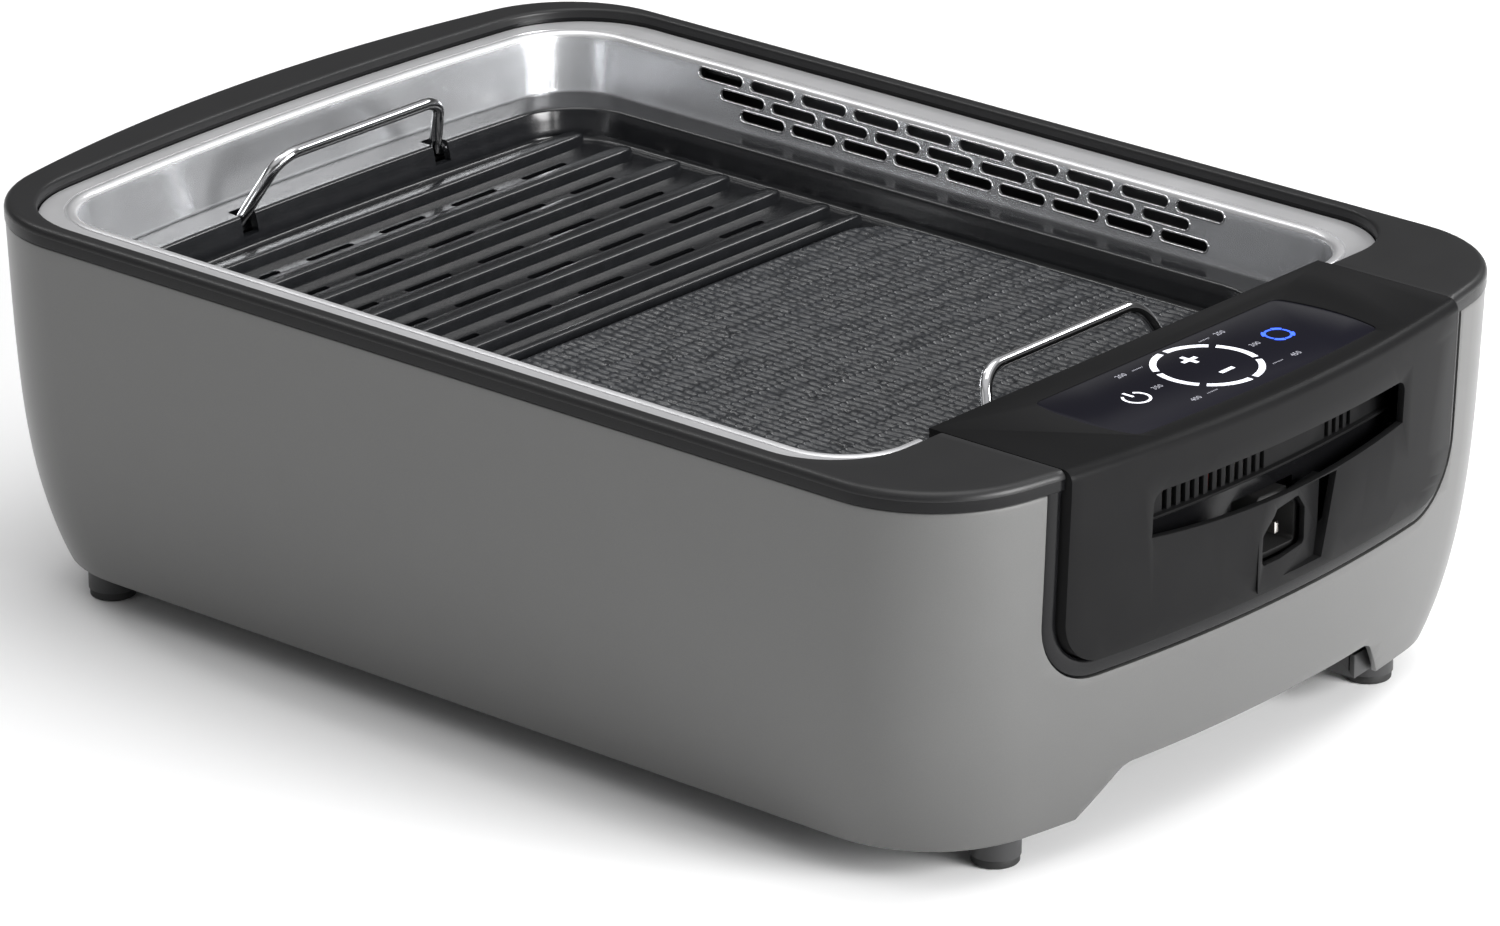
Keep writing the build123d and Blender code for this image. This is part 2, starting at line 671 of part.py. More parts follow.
# ---------------------------------------------------------------- smoke fan
FX, FZ = FAN_C
with BuildPart() as fan_housing:
    with BuildSketch(Plane.XZ.offset(-44)):
        with Locations((FX, FZ)):
            Circle(23.5)
        with Locations((FX + 12, FZ + 15.5)):
            Rectangle(24, 16)
    extrude(amount=-30)
    with BuildSketch(Plane.XZ.offset(-45.5)):
        with Locations((FX, FZ)):
            Circle(22)
        with Locations((FX + 14, FZ + 15.5)):
            Rectangle(28, 13)
    extrude(amount=-27, mode=Mode.SUBTRACT)
    # inlet tube to the side wall
    with BuildSketch(Plane.XZ.offset(-73)):
        with Locations((FX - 4, FZ)):
            Circle(12.5)
    extrude(amount=-39)
    with BuildSketch(Plane.XZ.offset(-71)):
        with Locations((FX - 4, FZ)):
            Circle(11.3)
    extrude(amount=-45, mode=Mode.SUBTRACT)
    # hole for the shaft
    with BuildSketch(Plane.XZ.offset(-40)):
        with Locations((FX, FZ)):
            Circle(5)
    extrude(amount=-8, mode=Mode.SUBTRACT)
save(fan_housing, "fan_housing")

with BuildPart() as fan_motor:
    with BuildSketch(Plane.XZ.offset(-16)):
        with Locations((FX, FZ)):
            Circle(14)
    extrude(amount=-25)
    with BuildSketch(Plane.XZ.offset(-41)):
        with Locations((FX, FZ)):
            Circle(7)
    extrude(amount=-2)
    # mounting plate against the fan housing
    with BuildSketch(Plane.XZ.offset(-42)):
        with Locations((FX, FZ)):
            Rectangle(36, 30)
            Circle(7, mode=Mode.SUBTRACT)
    extrude(amount=-2)
    with BuildSketch(Plane.XZ.offset(-39)):
        with Locations((FX, FZ)):
            Rectangle(16, 27)
    extrude(amount=-4)
    with BuildSketch(Plane.XZ.offset(-28)):
        with Locations((FX, FZ)):
            Circle(2.05)
    extrude(amount=-30, mode=Mode.SUBTRACT)
save(fan_motor, "fan_motor")
print("motor solids", len(fan_motor.part.solids()))

with BuildPart() as motor_shaft:
    with BuildSketch(Plane.XZ.offset(-28.4)):
        with Locations((FX, FZ)):
            Circle(2.0)
    extrude(amount=-34.6)
save(motor_shaft, "motor_shaft")

with BuildPart() as fan_wheel:
    with BuildSketch(Plane.XZ.offset(-48)):
        with Locations((FX, FZ)):
            Circle(FAN_R)
    extrude(amount=-1.4)
    with BuildSketch(Plane.XZ.offset(-49.4)):
        with Locations((FX, FZ)):
            Circle(4.5)
    extrude(amount=-9)
    with BuildSketch(Plane.XZ.offset(-49.4)):
        with Locations((FX, FZ)):
            with PolarLocations(16.8, 26):
                Rectangle(4.6, 0.9, rotation=28)
    extrude(amount=-18.6)
    with BuildSketch(Plane.XZ.offset(-66.6)):
        with Locations((FX, FZ)):
            Circle(FAN_R)
            Circle(15.4, mode=Mode.SUBTRACT)
    extrude(amount=-1.4)
    with BuildSketch(Plane.XZ.offset(-40)):
        with Locations((FX, FZ)):
            Circle(2.0)
    extrude(amount=-40, mode=Mode.SUBTRACT)
save(fan_wheel, "fan_wheel")
print("wheel solids", len(fan_wheel.part.solids()))

# ---------------------------------------------------------------- heating element
with BuildPart() as heating_element:
    with BuildLine(Plane.XY.offset(104)) as hpath:
        FilletPolyline(
            (203, -22), (142, -22), (142, -100), (-185, -100), (-185, -34), (100, -34),
            (100, 34), (-185, 34), (-185, 100), (142, 100), (142, 22), (203, 22),
            radius=14,
        )
    with BuildSketch(Plane(origin=(203, -22, 104), x_dir=(0, 1, 0), z_dir=(-1, 0, 0))):
        Circle(3.5)
    sweep(path=hpath.line)
save(heating_element, "heating_element")

with BuildPart() as terminal_block:
    with BuildSketch(Plane.YZ.offset(198.0)):
        with Locations((0, 104)):
            RectangleRounded(60, 16, 2)
    extrude(amount=8)
    with BuildSketch(Plane.YZ.offset(197.0)):
        with Locations((22, 104), (-22, 104)):
            Circle(3.5)
    extrude(amount=6, mode=Mode.SUBTRACT)
    with BuildSketch(Plane.YZ.offset(197.0)):
        with Locations((8, 110)):
            Circle(2.0)
    extrude(amount=5, mode=Mode.SUBTRACT)
save(terminal_block, "terminal_block")

with BuildPart() as thermostat_probe:
    with BuildSketch(Plane.YZ.offset(132)):
        with Locations((8, 110)):
            Circle(2.0)
    extrude(amount=70)
    fillet(thermostat_probe.faces().sort_by(Axis.X)[0].edges(), 1.2)
save(thermostat_probe, "thermostat_probe")

with BuildPart() as element_clip:
    with BuildSketch(Plane.XY.offset(99.3)):
        with Locations((-60, 0)):
            Rectangle(9, 214)
    extrude(amount=1.2)
    with BuildSketch(Plane.XZ.offset(-107)):
        with Locations((-60, 103)):
            Rectangle(9, 8)
    extrude(amount=1.2)
    with BuildSketch(Plane.XZ.offset(107)):
        with Locations((-60, 103)):
            Rectangle(9, 8)
    extrude(amount=-1.2)
save(element_clip, "element_clip")
print("clip solids", len(element_clip.part.solids()))

with BuildPart() as thermal_fuse:
    with BuildSketch(Plane.YZ.offset(191.6)):
        with Locations((-60, 120)):
            RectangleRounded(12, 8, 3.9)
    extrude(amount=5)
save(thermal_fuse, "thermal_fuse")

# live, neutral and earth leads from the inlet and the element leads
with BuildPart() as inner_wiring:
    with BuildLine() as w1:
        Polyline((230.0, -5.3, 102.2), (222.0, -5.3, 102.2))
        Line((222.0, -5.3, 102.2), (222.0, -27.0, 93.4))
    with BuildSketch(Plane(origin=(230.0, -5.3, 102.2), x_dir=(0, 1, 0), z_dir=(-1, 0, 0))):
        Circle(0.9)
    sweep(path=w1.line, transition=Transition.ROUND)
    with BuildLine() as w2:
        Polyline((230.0, 8.8, 102.2), (218.0, 8.8, 102.2), (210.0, 8.8, 102.2))
    with BuildSketch(Plane(origin=(230.0, 8.8, 102.2), x_dir=(0, 1, 0), z_dir=(-1, 0, 0))):
        Circle(0.9)
    sweep(path=w2.line, transition=Transition.ROUND)
    with BuildLine() as w3:
        Polyline((230.0, 1.75, 109.3), (226.0, 1.75, 109.3), (226.0, 1.75, 153.0))
    with BuildSketch(Plane(origin=(230.0, 1.75, 109.3), x_dir=(0, 1, 0), z_dir=(-1, 0, 0))):
        Circle(0.9)
    sweep(path=w3.line, transition=Transition.ROUND)
save(inner_wiring, "inner_wiring")
print("wires solids", len(inner_wiring.part.solids()))

# ---------------------------------------------------------------- cooking plate
PLATE_T = 3.2
with BuildPart() as grill_plate:
    # rim
    with BuildSketch(Plane.XY.offset(Z_LEDGE + 0.2)):
        add(plate_face())
    extrude(amount=Z_RIM - Z_LEDGE - 0.2)
    fillet(grill_plate.faces().sort_by(Axis.Z)[-1].edges(), 1.2)
    # pan body
    with BuildSketch(Plane.XY.offset(Z_FLOOR - PLATE_T)):
        add(pan_face(0.0))
    with BuildSketch(Plane.XY.offset(Z_LEDGE + 0.4)):
        add(pan_face(-PLATE_T))
    loft()
    # blocks that carry the handle pivots
    for hx in (HANDLE_XL - 0.1, HANDLE_XR + 0.1):
        for hy in (-60.0, 60.0):
            with BuildSketch(Plane.XY.offset(123.6)):
                with Locations((hx, hy)):
                    Rectangle(7.6, 20)
            extrude(amount=8)
    # hollow
    with BuildPart(mode=Mode.PRIVATE) as hollow:
        with BuildSketch(Plane.XY.offset(Z_FLOOR)):
            add(pan_face(2.4))
        with BuildSketch(Plane.XY.offset(Z_RIM + 0.05)):
            add(pan_face(0.0))
        loft()
    add(hollow.part, mode=Mode.SUBTRACT)
    # ribs
    with BuildSketch(Plane.XY.offset(Z_FLOOR - 1)):
        for k in range(RIB_COUNT):
            with Locations((RIB_FIRST + RIB_PITCH * k, 0)):
                RectangleRounded(7.0, 2 * 121.0, 3.4)
    extrude(amount=Z_RIB - Z_FLOOR + 1, taper=6)
    # griddle half with its raised border
    with BuildSketch(Plane.XY.offset(Z_FLOOR - 1)):
        with Locations(((DIVIDER_X + 160.0) / 2, 0)):
            RectangleRounded(160.0 - DIVIDER_X, 2 * 122.0, 22)
    extrude(amount=5.0)
    with BuildSketch(Plane.XY.offset(Z_FLOOR)):
        with Locations((DIVIDER_X - 6, 0)):
            RectangleRounded(4.0, 2 * 121.0, 1.9)
    extrude(amount=4.6)
    # drain slots between the ribs
    with BuildSketch(Plane.XY.offset(Z_FLOOR - 6)):
        for k in range(RIB_COUNT - 1):
            for y in (-84, -42, 0, 42, 84):
                with Locations((RIB_FIRST + RIB_PITCH * (k + 0.5), y)):
                    SlotOverall(26, 3.4, rotation=90)
    extrude(amount=12, mode=Mode.SUBTRACT)
    # notches for the handle legs and bores for their pivots
    for hx, sgn in ((HANDLE_XL, 1), (HANDLE_XR, -1)):
        for hy in (-55.9, 55.9):
            with BuildSketch(Plane.XY.offset(125.2)):
                with Locations((hx + sgn * 3.2, hy)):
                    Rectangle(13.0, 8.6)
            extrude(amount=12, mode=Mode.SUBTRACT)
        with BuildSketch(Plane.XZ.offset(72)):
            with Locations((hx, HANDLE_Z)):
                Circle(HANDLE_D / 2 + 0.06)
        extrude(amount=-24, mode=Mode.SUBTRACT)
        with BuildSketch(Plane.XZ.offset(-48)):
            with Locations((hx, HANDLE_Z)):
                Circle(HANDLE_D / 2 + 0.06)
        extrude(amount=-24, mode=Mode.SUBTRACT)
save(grill_plate, "grill_plate")
print("plate solids", len(grill_plate.part.solids()))


# ---------------------------------------------------------------- handles
def wire_handle(hx, sgn):
    c, s_ = cos(radians(HANDLE_LEAN)), sin(radians(HANDLE_LEAN)) * sgn
    rise = 31.0

    def at(y, h):
        return (hx + h * s_, y, HANDLE_Z + h * c)

    with BuildPart() as hnd:
        with BuildLine() as path:
            FilletPolyline(
                at(-69.0, 0), at(-57.5, 0), at(-46, rise), at(46, rise), at(57.5, 0), at(69.0, 0),
                radius=[3.4, 13.0, 13.0, 3.4],
            )
        with BuildSketch(Plane(origin=at(-69.0, 0), x_dir=(1, 0, 0), z_dir=(0, 1, 0))):
            Circle(HANDLE_D / 2)
        sweep(path=path.line)
    return hnd.part


with BuildPart() as handle_left:
    add(wire_handle(HANDLE_XL, 1))
save(handle_left, "handle_left")
with BuildPart() as handle_right:
    add(wire_handle(HANDLE_XR, -1))
save(handle_right, "handle_right")
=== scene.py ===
import math, random
import bpy, bmesh
import numpy as np
from mathutils import Vector, Matrix, noise


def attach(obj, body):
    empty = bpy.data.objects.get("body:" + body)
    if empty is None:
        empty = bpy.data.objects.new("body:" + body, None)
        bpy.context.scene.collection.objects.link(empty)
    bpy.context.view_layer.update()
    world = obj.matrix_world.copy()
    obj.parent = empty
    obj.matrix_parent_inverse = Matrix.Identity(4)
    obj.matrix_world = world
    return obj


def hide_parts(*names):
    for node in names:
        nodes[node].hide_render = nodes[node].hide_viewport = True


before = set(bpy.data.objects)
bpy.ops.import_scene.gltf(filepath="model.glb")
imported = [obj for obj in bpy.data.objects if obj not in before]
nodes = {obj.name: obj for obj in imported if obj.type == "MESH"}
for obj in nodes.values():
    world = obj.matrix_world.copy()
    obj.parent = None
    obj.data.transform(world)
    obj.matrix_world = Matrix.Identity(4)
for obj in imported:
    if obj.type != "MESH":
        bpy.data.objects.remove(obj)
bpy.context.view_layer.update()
scene = bpy.context.scene
MM = 0.001
rng = random.Random(7)

# ------------------------------------------------------------------ camera
cam_data = bpy.data.cameras.new("camera")
cam = bpy.data.objects.new("camera", cam_data)
scene.collection.objects.link(cam)
cam_data.sensor_width = 36.0
cam_data.lens = 196.09
cam_data.clip_start = 0.05
cam_data.clip_end = 60.0
cam.location = (1.92929, -2.22986, 1.23074)
fwd = Vector((-0.60753, 0.70404, -0.36773)).normalized()
right = fwd.cross(Vector((0, 0, 1))).normalized()
up = right.cross(fwd).normalized()
cam.rotation_euler = Matrix((right, up, -fwd)).transposed().to_euler()
scene.camera = cam

# ------------------------------------------------------------------ dimensions (mm), as in the CAD model
HALF_W, X_LEFT, X_RIGHT, X_POD, SAG, CORNER_R = 176.5, -266.0, 263.5, 266.0, 23.6, 52.6
Z_TOP, Z_JOIN, Z_SHELL, DRAFT, WALL = 162.0, 154.3, 14.0, 16.3, 2.2
RE = (HALF_W ** 2 + SAG ** 2) / (2 * SAG)
OPEN = (169.2, -244.6, 10.5, 46.0, 195.5, 0.6, 34.0)
LINER = (151.0, -231.5, 8.0, 31.0, 184.6, 0.6, 27.0)
FOOT = (147.0, -227.5, 7.8, 28.0, 184.2, 0.6, 24.0)
PLATE = (146.3, -226.7, 7.8, 27.3, 183.3, 0.6, 23.2)
PAN = (132.0, -209.5, 4.0, 30.0, 168.0, 2.0, 34.0)
Z_FLANGE, Z_LEDGE, Z_RIM, Z_FLOOR, Z_RIB = 156.8, 129.4, 133.4, 121.0, 126.0
POD_Y, POD_Z, CUT_Y, CUT_Z = 115.7, 84.0, 124.0, 76.0


# ------------------------------------------------------------------ outline sampling
def end_geometry(w, apex, sag, r, side):
    re = (w * w + sag * sag) / (2 * sag)
    xc = apex - re * side
    fy = w - r
    fx = xc + side * math.sqrt((re - r) ** 2 - fy ** 2)
    ang = math.atan2(fy, (fx - xc) * side)
    return re, xc, fx, fy, ang


def outline(spec, off=0.0, n_side=40, n_arc=14, n_end=36):
    """Closed list of (x, y), counter-clockwise, of a bulged outline offset inwards by off."""
    w, xl, sl, rl, xr, sr, rr = spec
    re, xc, fx, fy, a = end_geometry(w, xr, sr, rr, 1)
    rl_, xcl, fxl, fyl, al = end_geometry(w, xl, sl, rl, -1)
    pts = []
    for i in range(n_end):                       # right end, from -a to a
        t = -a + 2 * a * i / n_end
        pts.append((xc + (re - off) * math.cos(t), (re - off) * math.sin(t)))
    for i in range(n_arc):                       # upper right corner
        t = a + (math.pi / 2 - a) * i / n_arc
        pts.append((fx + (rr - off) * math.cos(t), fy + (rr - off) * math.sin(t)))
    for i in range(n_side):
        t = i / n_side
        pts.append((fx + (fxl - fx) * t, w - off))
    for i in range(n_arc):                       # upper left corner
        t = math.pi / 2 + (math.pi / 2 - al) * i / n_arc
        pts.append((fxl + (rl - off) * math.cos(t), fyl + (rl - off) * math.sin(t)))
    for i in range(n_end):
        t = math.pi - al + 2 * al * i / n_end
        pts.append((xcl + (rl_ - off) * math.cos(t), (rl_ - off) * math.sin(t)))
    for i in range(n_arc):
        t = math.pi + al + (math.pi / 2 - al) * i / n_arc
        pts.append((fxl + (rl - off) * math.cos(t), -fyl + (rl - off) * math.sin(t)))
    for i in range(n_side):
        t = i / n_side
        pts.append((fxl + (fx - fxl) * t, -(w - off)))
    for i in range(n_arc):
        t = 1.5 * math.pi + (math.pi / 2 - a) * i / n_arc
        pts.append((fx + (rr - off) * math.cos(t), -fy + (rr - off) * math.sin(t)))
    return pts


def housing_spec(d, push=0.0):
    w = HALF_W - d
    sag = RE - math.sqrt(RE ** 2 - w ** 2)
    return (w, X_LEFT + d, sag, CORNER_R, X_RIGHT + push - d, sag, CORNER_R)


def draft_at(z):
    t = max((Z_JOIN - z) / (Z_JOIN - Z_SHELL), 0.0)
    return DRAFT * (0.30 * t + 0.70 * t ** 4)


def face_x(y, z, push=0.0):
    return X_RIGHT + push - draft_at(z) - RE + math.sqrt(RE ** 2 - y * y)


# ------------------------------------------------------------------ mesh helpers
def new_object(name, verts, faces):
    me = bpy.data.meshes.new(name)
    me.from_pydata([(x * MM, y * MM, z * MM) for x, y, z in verts], [], faces)
    me.validate()
    ob = bpy.data.objects.new(name, me)
    scene.collection.objects.link(ob)
    bm = bmesh.new()
    bm.from_mesh(me)
    bmesh.ops.recalc_face_normals(bm, faces=bm.faces)
    bm.to_mesh(me)
    bm.free()
    return ob


def rings(name, loops, closed=True):
    """Mesh swept through equal-length closed loops; closed joins the last loop to the first."""
    n = len(loops[0])
    verts = [p for loop in loops for p in loop]
    faces = []
    m = len(loops)
    for k in range(m if closed else m - 1):
        k2 = (k + 1) % m
        for i in range(n):
            j = (i + 1) % n
            faces.append((k * n + i, k * n + j, k2 * n + j, k2 * n + i))
    return new_object(name, verts, faces)


def at_z(pts, z):
    return [(x, y, z) for x, y in pts]


def smooth(ob, angle=32):
    me = ob.data
    me.polygons.foreach_set("use_smooth", [True] * len(me.polygons))
    me.set_sharp_from_angle(angle=math.radians(angle))
    me.update()
    return ob


def apply_modifiers(ob):
    dg = bpy.context.evaluated_depsgraph_get()
    dg.update()
    me = bpy.data.meshes.new_from_object(ob.evaluated_get(dg), preserve_all_data_layers=True, depsgraph=dg)
    old = ob.data
    ob.modifiers.clear()
    ob.data = me
    me.name = ob.name
    bpy.data.meshes.remove(old)
    return ob


def cut(ob, cutter, keep=False, op="DIFFERENCE"):
    m = ob.modifiers.new("cut", "BOOLEAN")
    m.operation = op
    m.object = cutter
    m.solver = "EXACT"
    apply_modifiers(ob)
    if not keep:
        bpy.data.objects.remove(cutter)
    return ob


def bevel(ob, width=0.4, segments=2, angle=40):
    m = ob.modifiers.new("bevel", "BEVEL")
    m.width = width * MM
    m.segments = segments
    m.limit_method = "ANGLE"
    m.angle_limit = math.radians(angle)
    m.harden_normals = False
    m.miter_outer = "MITER_ARC"
    apply_modifiers(ob)
    return ob


def prism(name, poly, axis, lo, hi):
    """Closed prism from a 2D polygon: axis 'x' takes (y, z), 'y' takes (x, z), 'z' takes (x, y)."""
    def put(p, t):
        if axis == "x":
            return (t, p[0], p[1])
        if axis == "y":
            return (p[0], t, p[1])
        return (p[0], p[1], t)
    n = len(poly)
    verts = [put(p, lo) for p in poly] + [put(p, hi) for p in poly]
    faces = [tuple(range(n)), tuple(range(2 * n - 1, n - 1, -1))]
    faces += [(i, (i + 1) % n, n + (i + 1) % n, n + i) for i in range(n)]
    return new_object(name, verts, faces)


def rounded_rect(cx, cy, w, h, r, n=6):
    pts = []
    for sx, sy, a0 in ((1, 1, 0), (-1, 1, 90), (-1, -1, 180), (1, -1, 270)):
        for i in range(n + 1):
            a = math.radians(a0 + 90 * i / n)
            pts.append((cx + sx * (w / 2 - r) + r * math.cos(a), cy + sy * (h / 2 - r) + r * math.sin(a)))
    return pts


def tube(name, pts, r, seg=20, cap=True):
    """Round tube along points (mm) with parallel-transported sections."""
    P = [Vector(p) for p in pts]
    T = [(P[min(i + 1, len(P) - 1)] - P[max(i - 1, 0)]).normalized() for i in range(len(P))]
    ref = Vector((0, 0, 1)) if abs(T[0].z) < 0.9 else Vector((1, 0, 0))
    nrm = (ref - T[0] * ref.dot(T[0])).normalized()
    verts, faces = [], []
    for i, p in enumerate(P):
        nrm = (nrm - T[i] * nrm.dot(T[i])).normalized()
        b = T[i].cross(nrm)
        for k in range(seg):
            a = 2 * math.pi * k / seg
            verts.append(tuple(p + nrm * (r * math.cos(a)) + b * (r * math.sin(a))))
    for i in range(len(P) - 1):
        for k in range(seg):
            faces.append((i * seg + k, i * seg + (k + 1) % seg, (i + 1) * seg + (k + 1) % seg, (i + 1) * seg + k))
    if cap:
        faces.append(tuple(range(seg)))
        faces.append(tuple((len(P) - 1) * seg + k for k in range(seg - 1, -1, -1)))
    return new_object(name, verts, faces)


def fillet_path(pts, radii, n=10):
    """Points of a polyline with its corners rounded."""
    P = [Vector(p) for p in pts]
    out = [P[0]]
    for i in range(1, len(P) - 1):
        a, b, c, r = P[i - 1], P[i], P[i + 1], radii[i - 1]
        u, v = (a - b).normalized(), (c - b).normalized()
        half = u.angle(v) / 2
        t = r / math.tan(half)
        s, e = b + u * t, b + v * t
        ctr = b + (u + v).normalized() * (r / math.sin(half))
        for k in range(n + 1):
            f = k / n
            q = (s - ctr).slerp(e - ctr, f) if (s - ctr).length > 1e-6 else (s - ctr)
            out.append(ctr + q.normalized() * r)
    out.append(P[-1])
    return out


def refined(node, body, name=None, width=0.35, segments=2, angle=35, smooth_angle=35, do_bevel=True):
    """A finished copy of a CAD node: merged, with softened edges and smooth shading."""
    src = nodes[node]
    ob = bpy.data.objects.new(name or node + "_skin", src.data.copy())
    scene.collection.objects.link(ob)
    ob.data.materials.clear()
    bm = bmesh.new()
    bm.from_mesh(ob.data)
    bmesh.ops.remove_doubles(bm, verts=bm.verts, dist=1e-6)
    bmesh.ops.dissolve_limit(bm, angle_limit=math.radians(0.8), verts=bm.verts, edges=bm.edges)
    bm.to_mesh(ob.data)
    bm.free()
    for a in ("custom_normal", "sharp_face", "sharp_edge"):
        at = ob.data.attributes.get(a)
        if at is not None:
            ob.data.attributes.remove(at)
    if do_bevel:
        bevel(ob, width, segments, angle)
    smooth(ob, smooth_angle)
    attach(ob, body)
    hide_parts(node)
    return ob


# ------------------------------------------------------------------ materials
def material(name, color, metallic=0.0, rough=0.5, var=0.06, var_scale=60.0, grain=0.02, grain_scale=900.0,
             grain_dist=0.02, rough_var=0.08, stretch=(1, 1, 1), coat=0.0, coat_rough=0.1, specular=0.5,
             edge_highlight=0.0, emission=None, emission_strength=0.0, aniso=0.0, ior=None, mottle=None):
    m = bpy.data.materials.new(name)
    m.use_nodes = True
    nt = m.node_tree
    nt.nodes.clear()
    N, L = nt.nodes.new, nt.links.new
    out = N("ShaderNodeOutputMaterial")
    bsdf = N("ShaderNodeBsdfPrincipled")
    L(bsdf.outputs["BSDF"], out.inputs["Surface"])
    bsdf.inputs["Metallic"].default_value = metallic
    bsdf.inputs["Coat Weight"].default_value = coat
    bsdf.inputs["Coat Roughness"].default_value = coat_rough
    bsdf.inputs["Specular IOR Level"].default_value = specular
    if aniso:
        bsdf.inputs["Anisotropic"].default_value = aniso
    if ior:
        bsdf.inputs["IOR"].default_value = ior
    tc = N("ShaderNodeTexCoord")
    mp = N("ShaderNodeMapping")
    mp.inputs["Scale"].default_value = stretch
    L(tc.outputs["Object"], mp.inputs["Vector"])
    n1 = N("ShaderNodeTexNoise")
    n1.inputs["Scale"].default_value = var_scale
    n1.inputs["Detail"].default_value = 4
    L(mp.outputs["Vector"], n1.inputs["Vector"])
    ramp = N("ShaderNodeValToRGB")
    lo = [max(c * (1 - var), 0) for c in color]
    hi = [min(c * (1 + var), 1) for c in color]
    ramp.color_ramp.elements[0].position = 0.3
    ramp.color_ramp.elements[1].position = 0.7
    ramp.color_ramp.elements[0].color = (*lo, 1)
    ramp.color_ramp.elements[1].color = (*hi, 1)
    L(n1.outputs["Fac"], ramp.inputs["Fac"])
    col = ramp.outputs["Color"]
    n2 = N("ShaderNodeTexNoise")
    n2.inputs["Scale"].default_value = grain_scale
    n2.inputs["Detail"].default_value = 3
    L(mp.outputs["Vector"], n2.inputs["Vector"])
    if mottle:
        mm_ = N("ShaderNodeMapRange")
        mm_.inputs["From Min"].default_value = 0.35
        mm_.inputs["From Max"].default_value = 0.65
        mm_.inputs["To Min"].default_value = 1 - mottle
        mm_.inputs["To Max"].default_value = 1 + mottle
        L(n2.outputs["Fac"], mm_.inputs["Value"])
        mul = N("ShaderNodeVectorMath")
        mul.operation = "SCALE"
        L(col, mul.inputs[0])
        L(mm_.outputs["Result"], mul.inputs["Scale"])
        col = mul.outputs["Vector"]
    # painted highlight: convex edges (high pointiness) are mixed towards a lighter colour, standing in for glints on
    # raised edges
    if edge_highlight:
        geo = N("ShaderNodeNewGeometry")
        highlight_ramp = N("ShaderNodeValToRGB")
        highlight_ramp.color_ramp.elements[0].position = 0.52
        highlight_ramp.color_ramp.elements[1].position = 0.62
        L(geo.outputs["Pointiness"], highlight_ramp.inputs["Fac"])
        mx = N("ShaderNodeMix")
        mx.data_type = "RGBA"
        highlight_mul = N("ShaderNodeMath")
        highlight_mul.operation = "MULTIPLY"
        highlight_mul.inputs[1].default_value = edge_highlight
        L(highlight_ramp.outputs["Color"], highlight_mul.inputs[0])
        L(highlight_mul.outputs[0], mx.inputs["Factor"])
        L(col, mx.inputs["A"])
        mx.inputs["B"].default_value = (*[min(c * 2.2 + 0.06, 1) for c in color], 1)
        col = mx.outputs["Result"]
    L(col, bsdf.inputs["Base Color"])
    mr = N("ShaderNodeMapRange")
    mr.inputs["To Min"].default_value = max(rough - rough_var, 0.02)
    mr.inputs["To Max"].default_value = min(rough + rough_var, 1.0)
    L(n1.outputs["Fac"], mr.inputs["Value"])
    L(mr.outputs["Result"], bsdf.inputs["Roughness"])
    if grain:
        bp = N("ShaderNodeBump")
        bp.inputs["Strength"].default_value = grain
        bp.inputs["Distance"].default_value = grain_dist * MM
        L(n2.outputs["Fac"], bp.inputs["Height"])
        L(bp.outputs["Normal"], bsdf.inputs["Normal"])
    if emission:
        bsdf.inputs["Emission Color"].default_value = (*emission, 1)
        bsdf.inputs["Emission Strength"].default_value = emission_strength
    return m


M = {}
M["paint"] = material("shell_paint", (0.122, 0.122, 0.120), metallic=0.5, rough=0.34, var=0.015, var_scale=25, grain=0.12,
                      grain_scale=2600, grain_dist=0.03, rough_var=0.03, coat=0.12, coat_rough=0.25, mottle=0.03)
M["plastic"] = material("frame_plastic", (0.0150, 0.0150, 0.0155), rough=0.36, var=0.05, var_scale=40, grain=0.15, grain_scale=2400,
                        grain_dist=0.02, rough_var=0.03, specular=0.3)
# darker copy of the black plastic: painted shade for the frame's walls and side band, the window trim and the louver's
# lower band
M["bezel"] = material("bezel_plastic", (0.0045, 0.0045, 0.005), rough=0.24, var=0.05, var_scale=40, grain=0.1, grain_scale=2400,
                      grain_dist=0.02, rough_var=0.03, specular=0.2)
M["pod"] = material("pod_plastic", (0.0100, 0.0100, 0.0103), rough=0.34, var=0.05, var_scale=40, grain=0.15, grain_scale=2400,
                    grain_dist=0.02, rough_var=0.03, specular=0.04)
M["steel"] = material("liner_steel", (0.76, 0.77, 0.79), metallic=0.78, rough=0.24, var=0.05, var_scale=30, grain=0.35,
                      grain_scale=1500, grain_dist=0.03, rough_var=0.08, mottle=0.05)
M["flange"] = material("flange_steel", (0.72, 0.72, 0.73), metallic=0.6, rough=0.30, var=0.03, var_scale=40, grain=0.15,
                       grain_scale=2200, grain_dist=0.02, rough_var=0.05)
# brighter, more metallic copy of the liner steel for the slot lips: painted highlight on real pressed lips
M["rim"] = material("slot_rim_steel", (0.85, 0.85, 0.86), metallic=1.0, rough=0.16, var=0.02, grain=0.0)
M["coat"] = material("plate_coating", (0.0095, 0.0100, 0.0112), rough=0.2, var=0.12, var_scale=120, grain=0.3, grain_scale=1400,
                     grain_dist=0.03, rough_var=0.06, mottle=0.12)
